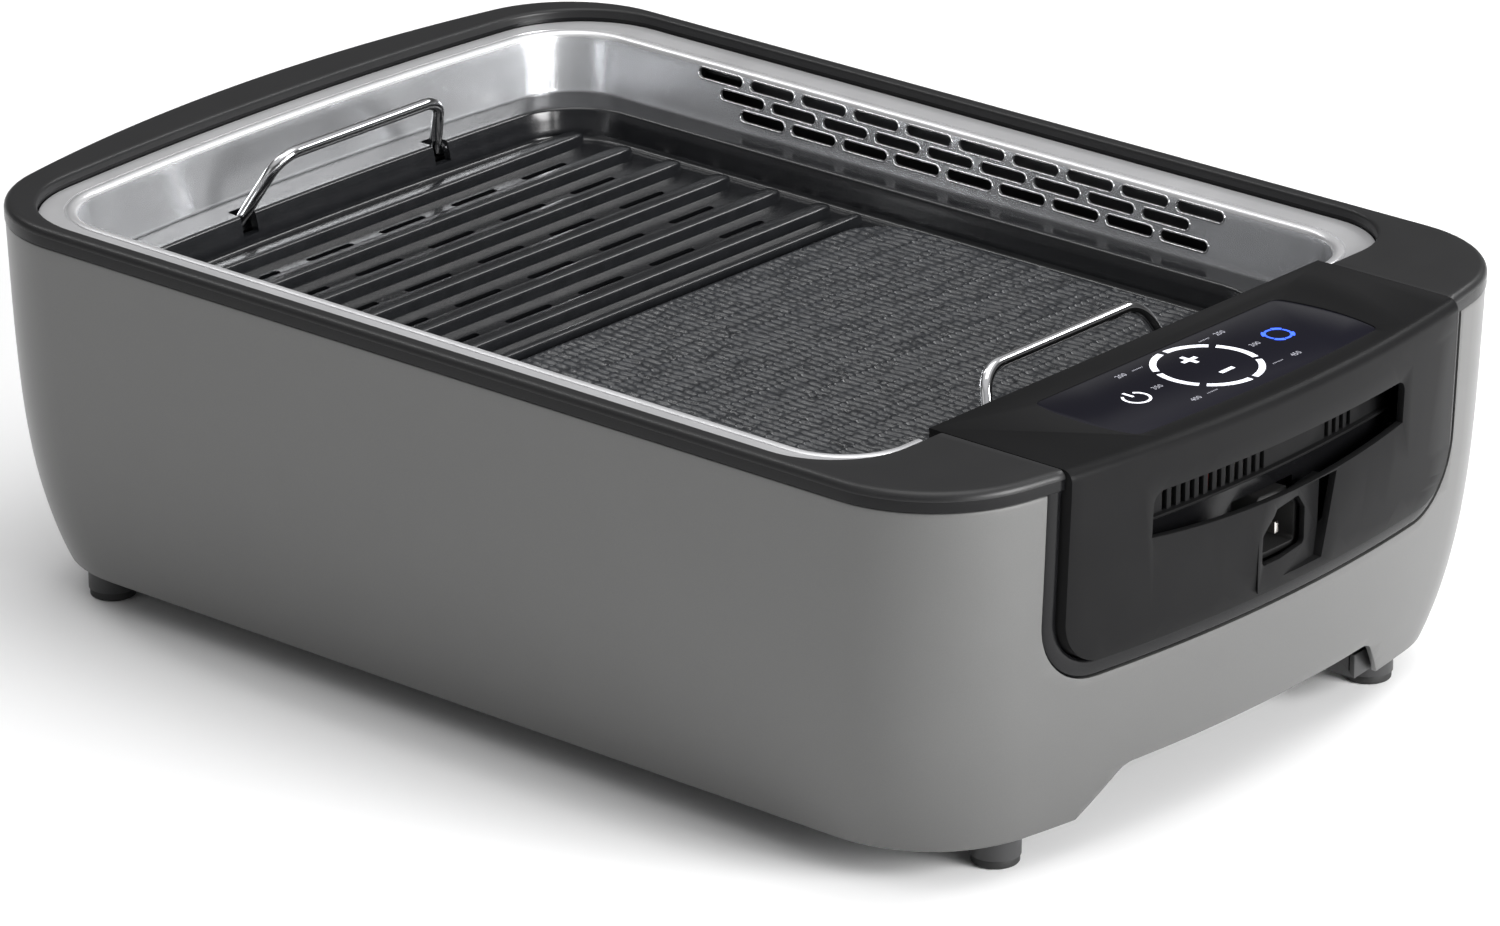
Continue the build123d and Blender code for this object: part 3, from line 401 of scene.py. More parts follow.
# the griddle's lighter convex dash edges are painted highlight
M["griddle"] = material("griddle_coating", (0.0150, 0.0165, 0.0195), rough=0.30, var=0.2, var_scale=150, grain=0.6, grain_scale=1100,
                        grain_dist=0.05, rough_var=0.10, mottle=0.12, edge_highlight=0.12)
M["chrome"] = material("chrome_wire", (0.62, 0.62, 0.63), metallic=1.0, rough=0.09, var=0.02, grain=0.03, grain_scale=500,
                       grain_dist=0.01, rough_var=0.03)
M["glass"] = material("panel_glass", (0.0045, 0.0042, 0.0088), rough=0.16, var=0.05, var_scale=20, grain=0.01, grain_scale=800,
                      rough_var=0.02, specular=0.26)
M["white"] = material("icon_white", (0.85, 0.86, 0.92), rough=0.4, var=0.03, grain=0.0, emission=(0.86, 0.88, 1.0), emission_strength=0.45)
M["dim"] = material("icon_dim", (0.32, 0.32, 0.36), rough=0.4, var=0.2, var_scale=900, grain=0.0, emission=(0.5, 0.5, 0.58), emission_strength=0.14)
M["blue"] = material("icon_blue", (0.05, 0.12, 0.8), rough=0.4, var=0.05, grain=0.0, emission=(0.02, 0.09, 1.0), emission_strength=1.3)
M["rubber"] = material("foot_rubber", (0.012, 0.012, 0.012), rough=0.62, var=0.15, var_scale=200, grain=0.3, grain_scale=1800)
M["base"] = material("base_plastic", (0.034, 0.034, 0.035), rough=0.5, var=0.08, var_scale=60, grain=0.4, grain_scale=1500, grain_dist=0.05)
M["black_metal"] = material("black_metal", (0.02, 0.02, 0.02), metallic=0.2, rough=0.45, var=0.12, grain=0.3, grain_scale=1200)
M["tray"] = material("tray_coating", (0.04, 0.041, 0.044), metallic=0.3, rough=0.38, var=0.1, grain=0.2, grain_scale=900, mottle=0.08)
M["duct"] = material("duct_metal", (0.10, 0.10, 0.105), metallic=0.9, rough=0.42, var=0.08, grain=0.1, stretch=(1, 8, 8))
M["zinc"] = material("zinc_plated", (0.55, 0.56, 0.56), metallic=1.0, rough=0.32, var=0.1, var_scale=300, grain=0.1)
M["seal"] = material("silicone_seal", (0.05, 0.048, 0.046), rough=0.6, var=0.08, grain=0.1)
M["guide"] = material("light_guide", (0.82, 0.84, 0.88), rough=0.3, var=0.04, grain=0.05, specular=0.5)
M["board"] = material("circuit_board", (0.02, 0.12, 0.05), rough=0.4, var=0.35, var_scale=350, grain=0.4, grain_scale=700, coat=0.3)
M["inlet"] = material("inlet_plastic", (0.010, 0.010, 0.010), rough=0.45, var=0.1, grain=0.2)
M["pin"] = material("nickel_pin", (0.72, 0.70, 0.66), metallic=1.0, rough=0.18, var=0.05, grain=0.05)
M["grey"] = material("fan_plastic", (0.06, 0.06, 0.062), rough=0.5, var=0.1, grain=0.3, grain_scale=900)
M["element"] = material("heating_tube", (0.13, 0.11, 0.10), metallic=0.8, rough=0.48, var=0.35, var_scale=90, grain=0.5, grain_scale=1200, mottle=0.15)
M["ceramic"] = material("ceramic", (0.72, 0.68, 0.60), rough=0.65, var=0.06, grain=0.3, grain_scale=700)
M["wire"] = material("silicone_lead", (0.35, 0.04, 0.03), rough=0.5, var=0.1, grain=0.1)


def give(ob, key):
    ob.data.materials.clear()
    ob.data.materials.append(M[key])
    return ob


# ------------------------------------------------------------------ outer shell
def build_shell():
    zs = [Z_JOIN, 152.5, 149, 144] + [144 - 4.2 * k for k in range(1, 25)]
    zs = [z for z in zs if z > 44] + [44, 40, 36.5, 33, 30, 27, 24.4, 22, 19.8, 17.8, 16, 14.9, Z_SHELL]
    out = [at_z(outline(housing_spec(draft_at(z)), 0.4), z) for z in zs]
    out[0] = at_z(outline(housing_spec(0.0), 0.9), Z_JOIN)
    out.insert(1, at_z(outline(housing_spec(0.0), 0.5), Z_JOIN - 0.3))
    zi = zs[::-1][::3] + [Z_JOIN]
    inn = [at_z(outline(housing_spec(draft_at(z)), 0.4 + WALL), z) for z in zi]
    bot = [at_z(outline(housing_spec(draft_at(Z_SHELL)), 0.9), Z_SHELL - 0.0)]
    out[-1] = at_z(outline(housing_spec(draft_at(Z_SHELL + 0.5)), 0.4), Z_SHELL + 0.5)
    ob = rings("shell_body", out + bot + inn)
    cut(ob, prism("c", rounded_rect(0, CUT_Z + 100, 2 * CUT_Y, 200, 28, 14), "x", 205, 300))
    arch = fillet_path([(-94, 2, 0), (-92, 14, 0), (-73, 33, 0), (76, 33, 0), (92, 14, 0), (94, 2, 0)], [1, 11, 11, 1], 8)
    cut(ob, prism("c", [(p.x, p.y) for p in arch], "x", 200, 300))
    bevel(ob, 0.35, 2, 50)
    smooth(ob, 30)
    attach(ob, "base")
    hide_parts("outer_shell")
    return give(ob, "paint")


build_shell()


# ------------------------------------------------------------------ black top frame
def build_frame():
    S = housing_spec(0.0)
    L = []
    L.append(at_z(outline(S, 0.35), 154.45))
    L.append(at_z(outline(S, 0.05), 154.75))
    L.append(at_z(outline(S, 0.0), 155.3))
    for k in range(0, 9):
        a = math.radians(90 * k / 8)
        L.append(at_z(outline(S, 3.2 * (1 - math.cos(a))), 158.8 + 3.2 * math.sin(a)))
    for t in (0.25, 0.5, 0.75):
        A, B = outline(S, 3.2), outline(OPEN, -1.6)
        L.append([(a[0] + (b[0] - a[0]) * t, a[1] + (b[1] - a[1]) * t, Z_TOP) for a, b in zip(A, B)])
    for k in range(0, 6):
        a = math.radians(90 * k / 5)
        L.append(at_z(outline(OPEN, -1.6 + 1.6 * math.sin(a)), 160.4 + 1.6 * math.cos(a)))
    L.append(at_z(outline(OPEN, 0.0), 158.3))
    L.append(at_z(outline(OPEN, 0.0), 148.2))
    L.append(at_z(outline(OPEN, -2.1), 148.2))
    L.append(at_z(outline(OPEN, -2.1), 154.45))
    ob = rings("frame_ring", L)
    cut(ob, prism("c", rounded_rect(0, 160, 2 * (POD_Y + 0.35), 200, 20, 6), "x", 189.6, 300))
    bevel(ob, 0.3, 2, 60)
    smooth(ob, 32)
    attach(ob, "base")
    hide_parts("top_frame")
    give(ob, "plastic")
    # painted shade: faces below the frame's top (inner wall and outer side band) take the darker plastic copy, standing
    # in for the shade on those sides
    ob.data.materials.append(M["bezel"])
    for p in ob.data.polygons:
        if p.center.z < 0.1586:
            p.material_index = 1
    return ob


build_frame()


def u_path(y, z, r, top, n=14):
    """Right-hand half of a U in (y, z), mirrored to a whole, from the left top to the right top."""
    pts = [(-y, top - (top - z - r) * i / 14) for i in range(14)]
    nrm = [(1, 0)] * 14
    for i in range(n + 1):
        a = math.pi + (math.pi / 2) * i / n
        pts.append((-y + r + r * math.cos(a), z + r + r * math.sin(a)))
        nrm.append((-math.cos(a), -math.sin(a)))
    for i in range(1, 40):
        pts.append((-y + r + (2 * y - 2 * r) * i / 40, z))
        nrm.append((0, 1))
    for i in range(n + 1):
        a = 1.5 * math.pi + (math.pi / 2) * i / n
        pts.append((y - r + r * math.cos(a), z + r + r * math.sin(a)))
        nrm.append((-math.cos(a), -math.sin(a)))
    for i in range(1, 15):
        pts.append((y, z + r + (top - z - r) * i / 14))
        nrm.append((-1, 0))
    return pts, nrm


def build_bezel():
    pts, nrm = u_path(CUT_Y - 0.25, CUT_Z + 0.25, 27.75, Z_JOIN + 0.2)
    prof = [(0.0, 8.0), (0.0, 2.4), (0.12, 1.5), (0.6, 0.85), (1.5, 0.55), (4.2, 0.5), (5.6, 0.6), (6.6, 1.0), (7.25, 1.8), (7.5, 3.0), (7.5, 8.0)]
    verts, faces = [], []
    n = len(prof)
    for (y, z), (ny, nz) in zip(pts, nrm):
        for u, dep in prof:
            yy, zz = y + ny * u, z + nz * u
            verts.append((face_x(yy, zz) - dep, yy, zz))
    for i in range(len(pts) - 1):
        for k in range(n):
            k2 = (k + 1) % n
            faces.append((i * n + k, (i + 1) * n + k, (i + 1) * n + k2, i * n + k2))
    faces.append(tuple(range(n)))
    faces.append(tuple((len(pts) - 1) * n + k for k in range(n - 1, -1, -1)))
    ob = smooth(new_object("frame_window_bezel", verts, faces), 40)
    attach(ob, "base")
    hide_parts("top_frame")
    # painted shade: the window trim, one piece with the top frame, takes the darker shaded copy of the frame plastic
    return give(ob, "bezel")


build_bezel()


# ------------------------------------------------------------------ steel liner
SLOT_ROWS = [(152.3, -140.4, 27.44, 10), (145.8, -128.0, 27.3, 9), (139.3, -116.4, 27.1, 9)]


def lerp_loop(A, za, B, zb, t):
    return [(a[0] + (b[0] - a[0]) * t, a[1] + (b[1] - a[1]) * t, za + (zb - za) * t) for a, b in zip(A, B)]


def build_liner():
    L = []
    L.append(at_z(outline(OPEN, 0.5), 155.6))
    L.append(at_z(outline(OPEN, 0.35), 156.4))
    L.append(at_z(outline(OPEN, 0.7), 156.75))
    for t in (0.2, 0.5, 0.75):
        L.append(lerp_loop(outline(OPEN, 0.7), Z_FLANGE - 0.02, outline(LINER, -5.2), Z_FLANGE - 0.02, t))
    # crease: the seat for a lid, then the raised rolled edge
    L.append(at_z(outline(LINER, -5.2), Z_FLANGE - 0.02))
    L.append(at_z(outline(LINER, -4.9), Z_FLANGE - 0.7))
    L.append(at_z(outline(LINER, -4.5), Z_FLANGE - 0.7))
    L.append(at_z(outline(LINER, -4.1), Z_FLANGE + 0.0))
    L.append(at_z(outline(LINER, -3.4), Z_FLANGE + 0.35))
    L.append(at_z(outline(LINER, -2.4), Z_FLANGE + 0.45))
    for k in range(1, 8):
        a = math.radians(80 * k / 7)
        L.append(at_z(outline(LINER, -2.4 + 2.5 * math.sin(a)), Z_FLANGE + 0.45 - 2.5 * (1 - math.cos(a))))
    top = outline(LINER, 0.35)
    bot = outline(FOOT, -0.2)
    for t in [0.04, 0.12, 0.25, 0.4, 0.55, 0.7, 0.85, 0.93]:
        L.append(lerp_loop(top, 154.0, bot, 131.0, t))
    L.append(at_z(outline(FOOT, 0.1), 130.2))
    L.append(at_z(outline(FOOT, 0.7), 129.55))
    L.append(at_z(outline(FOOT, 2.0), 129.42))
    W = (137.5, -219.5, 3.0, 24.0, 178.0, 0.5, 22.0)
    L.append(at_z(outline(W, 1.3), 129.42))
    L.append(at_z(outline(W, 1.3), 122.6))
    L.append(at_z(outline(W, 0.5), 122.6))
    L.append(at_z(outline(W, 0.5), 128.2))
    L.append(at_z(outline(FOOT, -1.0), 128.2))
    L.append(at_z(outline(LINER, -1.1), 155.6))
    ob = rings("liner_body", L)
    cut(ob, prism("c", [(175, -116.9), (230, -116.9), (230, 116.9), (175, 116.9)], "z", 90, 175))
    cutters = []
    for z, x0, pitch, n in SLOT_ROWS:
        for k in range(n):
            cutters.append(prism("c", rounded_rect(x0 + pitch * k, z, 23.5, 4.4, 2.19, 7), "y", 143, 156))
    base = cutters[0]
    bm = bmesh.new()
    for c in cutters:
        bm.from_mesh(c.data)
    bm.to_mesh(base.data)
    bm.free()
    for c in cutters[1:]:
        bpy.data.objects.remove(c)
    cut(ob, base)
    smooth(ob, 30)
    ob.data.materials.clear()
    ob.data.materials.append(M["steel"])
    ob.data.materials.append(M["flange"])
    for p in ob.data.polygons:
        p.material_index = 1 if p.center.z > 0.1545 else 0
    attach(ob, "base")
    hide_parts("steel_liner")
    return ob


build_liner()


def wall_y(z):
    """Face of the liner's back wall at height z."""
    t = (154.0 - z) / (154.0 - 131.0)
    return (151.0 - 0.35) + ((147.0 + 0.2) - (151.0 - 0.35)) * t


def build_slot_rims():
    verts, faces = [], []
    seg = 8
    for z, x0, pitch, n in SLOT_ROWS:
        for k in range(n):
            loop = rounded_rect(x0 + pitch * k, z, 24.0, 4.9, 2.44, 8)
            base = len(verts)
            m = len(loop)
            for i in range(m):
                a, b = Vector(loop[i - 1]), Vector(loop[(i + 1) % m])
                t = (b - a).normalized()
                nx, nz = t.y, -t.x
                for s in range(seg):
                    ang = 2 * math.pi * s / seg
                    o = 0.42 * math.cos(ang)
                    h = 0.34 * math.sin(ang)
                    px, pz = loop[i][0] + nx * o, loop[i][1] + nz * o
                    verts.append((px, wall_y(pz) + 0.02 - h, pz))
            for i in range(m):
                j = (i + 1) % m
                for s in range(seg):
                    s2 = (s + 1) % seg
                    faces.append((base + i * seg + s, base + j * seg + s, base + j * seg + s2, base + i * seg + s2))
    ob = smooth(new_object("liner_slot_lips", verts, faces), 60)
    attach(ob, "base")
    # the lips are real geometry; their brighter steel is painted highlight
    return give(ob, "rim")


build_slot_rims()


# ------------------------------------------------------------------ cooking plate
def build_plate():
    L = []
    L.append(at_z(outline(PLATE, 0.4), 129.65))
    L.append(at_z(outline(PLATE, 0.0), 130.1))
    for k in range(0, 6):
        a = math.radians(90 * k / 5)
        L.append(at_z(outline(PLATE, 1.2 * (1 - math.cos(a))), 132.2 + 1.2 * math.sin(a)))
    A, B = outline(PLATE, 1.2), outline(PAN, -1.8)
    for t in (0.12, 0.5, 0.85):
        L.append(lerp_loop(A, Z_RIM, B, Z_RIM, t))
    for k in range(0, 7):
        a = math.radians(78 * k / 6)
        L.append(at_z(outline(PAN, -1.8 + 1.8 * math.sin(a)), Z_RIM - 1.8 * (1 - math.cos(a))))
    L.append(at_z(outline(PAN, 0.9), 128.6))
    L.append(at_z(outline(PAN, 1.8), 122.8))
    L.append(at_z(outline(PAN, 2.3), 121.2))
    L.append(at_z(outline(PAN, 3.2), 120.5))
    L.append(at_z(outline(PAN, 7.0), 120.3))
    L.append(at_z(outline(PAN, 8.2), 121.0))
    L.append(at_z(outline(PAN, 9.5), 121.0))
    L.append(at_z(outline(PAN, 9.5), 117.8))
    L.append(at_z(outline(PAN, 0.2), 117.8))
    L.append(at_z(outline(PAN, -3.0), 129.6))
    ob = rings("plate_pan", L)
    # inner floor: bottom and top fill
    n = len(L[0])
    bm = bmesh.new()
    bm.from_mesh(ob.data)
    bm.verts.ensure_lookup_table()
    iu = len(L) - 4
    il = len(L) - 3
    bmesh.ops.delete(bm, geom=[f for f in bm.faces if all(v.index in range(iu * n, (il + 1) * n) for v in f.verts)], context="FACES_ONLY")
    bm.verts.ensure_lookup_table()
    bm.faces.new([bm.verts[iu * n + i] for i in range(n)])
    bm.faces.new([bm.verts[il * n + i] for i in range(n - 1, -1, -1)])
    bmesh.ops.recalc_face_normals(bm, faces=bm.faces)
    bm.to_mesh(ob.data)
    bm.free()
    cutters = []
    for k in range(5):
        for y in (-84, -42, 0, 42, 84):
            cutters.append(prism("c", rounded_rect(-191.0 + 26.5 * (k + 0.5), y, 3.4, 26, 1.68, 5), "z", 112, 126))
    for hx, s in ((-213.2, 1), (171.7, -1)):
        for hy in (-55.9, 55.9):
            cx = hx + s * 3.2
            cutters.append(prism("c", rounded_rect(cx, hy, 13.0, 8.6, 1.2, 3), "z", 125.2, 140))
    base = cutters[0]
    bm = bmesh.new()
    for c in cutters:
        bm.from_mesh(c.data)
    bm.to_mesh(base.data)
    bm.free()
    for c in cutters[1:]:
        bpy.data.objects.remove(c)
    cut(ob, base)
    smooth(ob, 35)
    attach(ob, "grill_plate")
    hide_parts("grill_plate")
    give(ob, "coat")

    # ribs: flat-topped, rounded edges, tapering ends
    prof = [(-4.3, 0.0), (-4.0, 0.7), (-3.75, 3.6), (-3.5, 4.4), (-2.9, 4.85), (-2.1, 5.0), (0, 5.03), (2.1, 5.0), (2.9, 4.85), (3.5, 4.4), (3.75, 3.6), (4.0, 0.7), (4.3, 0.0)]

    def rib(verts, faces, cx, half, scale_w=1.0, top=1.0, seed=0):
        ys = [-half, -half + 0.5, -half + 1.4, -half + 2.8, -half + 4.5]
        ys += [-half + 4.5 + (2 * half - 9) * i / 40 for i in range(1, 40)]
        ys += [half - 4.5, half - 2.8, half - 1.4, half - 0.5, half]
        sc = {0: 0.25, 1: 0.5, 2: 0.74, 3: 0.92, 4: 1.0}
        b = len(verts)
        m = len(prof)
        for i, y in enumerate(ys):
            e = min(i, len(ys) - 1 - i)
            f = sc.get(e, 1.0)
            hgt = min(1.0, [0.35, 0.7, 0.9, 0.98, 1.0][e] if e < 5 else 1.0)
            for (u, h) in prof:
                wob = 0.05 * noise.noise(Vector((cx * 0.1, y * 0.08, u)))
                verts.append((cx + u * f * scale_w + wob, y, Z_FLOOR - 0.15 + (h * top) * hgt))
            verts.append((cx + 0, y, Z_FLOOR - 0.6))
        m += 1
        for i in range(len(ys) - 1):
            for k in range(m):
                k2 = (k + 1) % m
                faces.append((b + i * m + k, b + (i + 1) * m + k, b + (i + 1) * m + k2, b + i * m + k2))
        faces.append(tuple(b + k for k in range(m)))
        faces.append(tuple(b + (len(ys) - 1) * m + k for k in range(m - 1, -1, -1)))

    verts, faces = [], []
    for k in range(6):
        rib(verts, faces, -191.0 + 26.5 * k, 121.0)
    rib(verts, faces, -41.0, 121.0, 0.55, 0.92)
    ribs = smooth(new_object("plate_ribs", verts, faces), 45)
    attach(ribs, "grill_plate")
    give(ribs, "coat")
    return ob


build_plate()


def build_griddle():
    x0, x1, hy, r = -35.0, 160.0, 122.0, 22.0
    nx, ny = 210, 400
    H = np.zeros((nx + 1, ny + 1))
    xs = np.linspace(x0 + 1.6, x1 - 1.6, nx + 1)
    ys = np.linspace(-hy + 1.6, hy - 1.6, ny + 1)
    R = random.Random(11)
    band = 15.5
    nb = int((x1 - x0) / band) + 2
    phase = [R.uniform(0, 6.28) for _ in range(nb)]
    for i, x in enumerate(xs):
        b = int((x - x0) / band)
        u = ((x - x0) / band) - b
        edge = min(u, 1 - u) * 2
        for j, y in enumerate(ys):
            warp = 2.6 * noise.noise(Vector((x * 0.085, y * 0.05, b * 3.1))) + 0.9 * noise.noise(Vector((x * 0.30, y * 0.11, 9.0)))
            q = y / 3.9 * 2 * math.pi + phase[b] + warp
            row = math.floor(q / (2 * math.pi))
            cut_at = 0.5 + 0.42 * noise.noise(Vector((b * 5.7, row * 1.9, 0.3)))
            gap = abs(u - cut_at)
            dash = min(1.0, gap / 0.06) * min(1.0, edge / 0.16)
            groove = max(0.0, 0.5 + 0.5 * math.cos(q) - 0.18 + 0.22 * noise.noise(Vector((x * 0.35, row * 2.3, b))))
            groove = min(1.0, groove * 1.9) * dash
            lift = 0.16 if edge < 0.07 else 0.0
            H[i, j] = 0.78 - 0.95 * groove + lift + 0.10 * noise.noise(Vector((x * 0.8, y * 0.8, 0)))
    verts, faces, idx = [], [], {}

    def inside(x, y):
        ax, ay = max(abs(x - (x0 + x1) / 2) - ((x1 - x0) / 2 - r), 0), max(abs(y) - (hy - r), 0)
        return math.hypot(ax, ay)

    rr = r - 1.6
    for i, x in enumerate(xs):
        for j, y in enumerate(ys):
            cx, cy = x, y
            dist = inside(x, y)
            ax = abs(x - (x0 + x1) / 2) - ((x1 - x0) / 2 - r)
            ay = abs(y) - (hy - r)
            z = 124.2 + H[i, j]
            if ax > 0 and ay > 0 and dist > rr:
                # pull the corner points onto the rounded border
                f = rr / dist
                cx = (x0 + x1) / 2 + math.copysign((x1 - x0) / 2 - r + ax * f, x - (x0 + x1) / 2)
                cy = math.copysign(hy - r + ay * f, y)
            border = i in (0, nx) or j in (0, ny) or (ax > 0 and ay > 0 and dist > rr - 0.6)
            if border:
                z = 124.3
            idx[(i, j)] = len(verts)
            verts.append((cx, cy, z))
    for i in range(nx):
        for j in range(ny):
            faces.append((idx[(i, j)], idx[(i + 1, j)], idx[(i + 1, j + 1)], idx[(i, j + 1)]))
    # skirt down to the pan floor
    ring = [(i, 0) for i in range(nx)] + [(nx, j) for j in range(ny)] + [(i, ny) for i in range(nx, 0, -1)] + [(0, j) for j in range(ny, 0, -1)]
    prev = [idx[p] for p in ring]
    cxm = (x0 + x1) / 2
    for off, z in ((0.9, 124.1), (1.5, 123.3), (1.7, 120.9)):
        cur = []
        for p in ring:
            v = verts[idx[p]]
            ax, ay = abs(v[0] - cxm) - ((x1 - x0) / 2 - r), abs(v[1]) - (hy - r)
            d = Vector((max(ax, 0) * (1 if v[0] > cxm else -1), max(ay, 0) * (1 if v[1] > 0 else -1)))
            if d.length < 1e-6:
                d = Vector((1, 0))
            d.normalize()
            if ax > 0 and ay <= 0:
                d = Vector((math.copysign(1, v[0] - cxm), 0))
            if ay > 0 and ax <= 0:
                d = Vector((0, math.copysign(1, v[1])))
            cur.append(len(verts))
            verts.append((v[0] + d.x * off, v[1] + d.y * off, z))
        m = len(ring)
        for k in range(m):
            faces.append((prev[k], prev[(k + 1) % m], cur[(k + 1) % m], cur[k]))
        prev = cur
    faces.append(tuple(prev[::-1]))
    ob = new_object("griddle_deck", verts, faces)
    bm = bmesh.new()
    bm.from_mesh(ob.data)
    bmesh.ops.dissolve_degenerate(bm, dist=1e-7, edges=bm.edges)
    bm.to_mesh(ob.data)
    bm.free()
    smooth(ob, 50)
    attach(ob, "grill_plate")
    return give(ob, "griddle")


build_griddle()


# ------------------------------------------------------------------ handles
def build_handle(name, hx, sgn):
    lean = math.radians(25.0)
    c, s = math.cos(lean), math.sin(lean) * sgn

    def at(y, h):
        return (hx + h * s, y, 128.6 + h * c)

    pts = fillet_path([at(-69, 0), at(-57.5, 0), at(-46, 31), at(46, 31), at(57.5, 0), at(69, 0)], [3.4, 13, 13, 3.4], 14)
    ob = smooth(tube(name + "_wire", pts, 2.5, 28), 60)
    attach(ob, name)
    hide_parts(name)
    return give(ob, "chrome")


build_handle("handle_left", -213.2, 1)
build_handle("handle_right", 171.7, -1)

# ------------------------------------------------------------------ control unit
pod = give(refined("pod_shell", "control_unit", "pod_casing", width=0.5, segments=2, angle=38, smooth_angle=30), "pod")


def panel_loop(off=0.0, n=14):
    a = [(251.3 - off, -71.5 + off), (254.2 - off, 0), (251.3 - off, 71.5 - off)]

    def arc3(p, q, r_, m):
        # circle through three points
        (ax, ay), (bx, by), (cx, cy) = p, q, r_
        d = 2 * (ax * (by - cy) + bx * (cy - ay) + cx * (ay - by))
        ux = ((ax * ax + ay * ay) * (by - cy) + (bx * bx + by * by) * (cy - ay) + (cx * cx + cy * cy) * (ay - by)) / d
        uy = ((ax * ax + ay * ay) * (cx - bx) + (bx * bx + by * by) * (ax - cx) + (cx * cx + cy * cy) * (bx - ax)) / d
        R = math.hypot(ax - ux, ay - uy)
        t0, t1 = math.atan2(ay - uy, ax - ux), math.atan2(cy - uy, cx - ux)
        while t1 < t0:
            t1 += 2 * math.pi
        if t1 - t0 > math.pi:
            t0 += 2 * math.pi
        return [(ux + R * math.cos(t0 + (t1 - t0) * i / m), uy + R * math.sin(t0 + (t1 - t0) * i / m)) for i in range(m)]

    pts = arc3(*a, 24)
    pts += arc3((251.3 - off, 71.5 - off), (227.5, 75.3 - off), (202.8 + off, 71.5 - off), 16)
    pts += [(202.8 + off, 71.5 - off - 2 * (71.5 - off) * i / 16) for i in range(16)]
    pts += arc3((202.8 + off, -71.5 + off), (227.5, -75.3 + off), (251.3 - off, -71.5 + off), 16)
    # round the four corners
    P = [Vector((x, y)) for x, y in pts]
    for _ in range(1):
        out = []
        corners = {0, 24, 40, 56}
        for i, p in enumerate(P):
            if i in corners:
                a_, b_ = P[i - 1], P[(i + 1) % len(P)]
                u, v = (a_ - p).normalized(), (b_ - p).normalized()
                t = 2.6
                for k in range(7):
                    f = k / 6
                    s_, e_ = p + u * t, p + v * t
                    out.append((1 - f) ** 2 * s_ + 2 * f * (1 - f) * p + f * f * e_)
            else:
                out.append(p)
        P = out
    return [(p.x, p.y) for p in P]


def build_panel():
    L = [at_z(panel_loop(0.1), 160.65), at_z(panel_loop(0.05), 161.5), at_z(panel_loop(0.15), 161.75), at_z(panel_loop(0.45), 161.86)]
    n = len(L[0])
    verts = [p for l in L for p in l]
    faces = []
    for k in range(3):
        for i in range(n):
            j = (i + 1) % n
            faces.append((k * n + i, k * n + j, (k + 1) * n + j, (k + 1) * n + i))
    faces.append(tuple(range(n - 1, -1, -1)))
    faces.append(tuple(3 * n + i for i in range(n)))
    ob = smooth(new_object("panel_face", verts, faces), 40)
    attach(ob, "control_unit")
    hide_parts("touch_panel")
    return give(ob, "glass")


build_panel()
ZI0, ZI1 = 161.84, 161.93


def flat_piece(name, polys, key):
    """Thin closed raised graphics from a list of polygons in plan."""
    verts, faces = [], []
    for poly in polys:
        b, n = len(verts), len(poly)
        verts += [(x, y, ZI0) for x, y in poly] + [(x, y, ZI1) for x, y in poly]
        faces.append(tuple(b + i for i in range(n - 1, -1, -1)))
        faces.append(tuple(b + n + i for i in range(n)))
        faces += [(b + i, b + (i + 1) % n, b + n + (i + 1) % n, b + n + i) for i in range(n)]
    ob = new_object(name, verts, faces)
    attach(ob, "control_unit")
    return give(ob, key)


def arc_band(cx, cy, r0, r1, a0, a1, n=18):
    A = [math.radians(a0 + (a1 - a0) * i / n) for i in range(n + 1)]
    return [(cx + r1 * math.cos(a), cy + r1 * math.sin(a)) for a in A] + [(cx + r0 * math.cos(a), cy + r0 * math.sin(a)) for a in reversed(A)]


def bar(cx, cy, lx, ly):
    return [(cx - lx / 2, cy - ly / 2), (cx + lx / 2, cy - ly / 2), (cx + lx / 2, cy + ly / 2), (cx - lx / 2, cy + ly / 2)]


CX, CY = 226.8, 0.0
ring_polys = []
for k in range(6):
    a0 = 60 * k + 33
    ring_polys.append(arc_band(CX, CY, 18.8, 21.4, a0 - 26, a0 + 26))
flat_piece("ring_light", ring_polys, "white")
flat_piece("key_plus", [bar(218.3, 0, 8.0, 1.9), bar(218.3, 2.475, 1.9, 3.05), bar(218.3, -2.475, 1.9, 3.05)], "white")
flat_piece("key_minus", [bar(235.0, 1.0, 1.9, 7.6)], "white")
flat_piece("key_power", [arc_band(227.6, -43.0, 4.6, 5.7, 215, 505, 30), bar(223.6, -43.0, 5.0, 1.2)], "white")
fan_polys = []
for k in range(8):
    a0 = 45 * k
    fan_polys.append(arc_band(226.6, 42.8, 4.6, 6.4 if k % 2 else 5.6, a0 - 20.5, a0 + 20.5, 5))
flat_piece("key_fan", fan_polys, "blue")
# dotted leaders and numbers
LABELS = [("200", 209.6, -28.2), ("250", 209.6, 28.2), ("300", 226.6, 27.6), ("350", 226.6, -28.3), ("400", 244.4, -28.2), ("450", 244.0, 29.6)]
dots = []
for _, lx, ly in LABELS:
    v = Vector((lx - CX, ly - CY))
    s = v.normalized()
    if abs(lx - CX) < 3:
        continue
    for k in range(7):
        p = (CX + s.x * (22.6 + 0.0), CY + math.copysign(1, ly) * (16.6 + 0.9 * k))
        dots.append(bar(lx + (1.1 if lx < CX else -1.1) * 0 + 0.0, p[1] - math.copysign(1, ly) * 0.0 + math.copysign(1, ly) * 0.6, 0.55, 0.45))
flat_piece("leader_dots", dots, "dim")


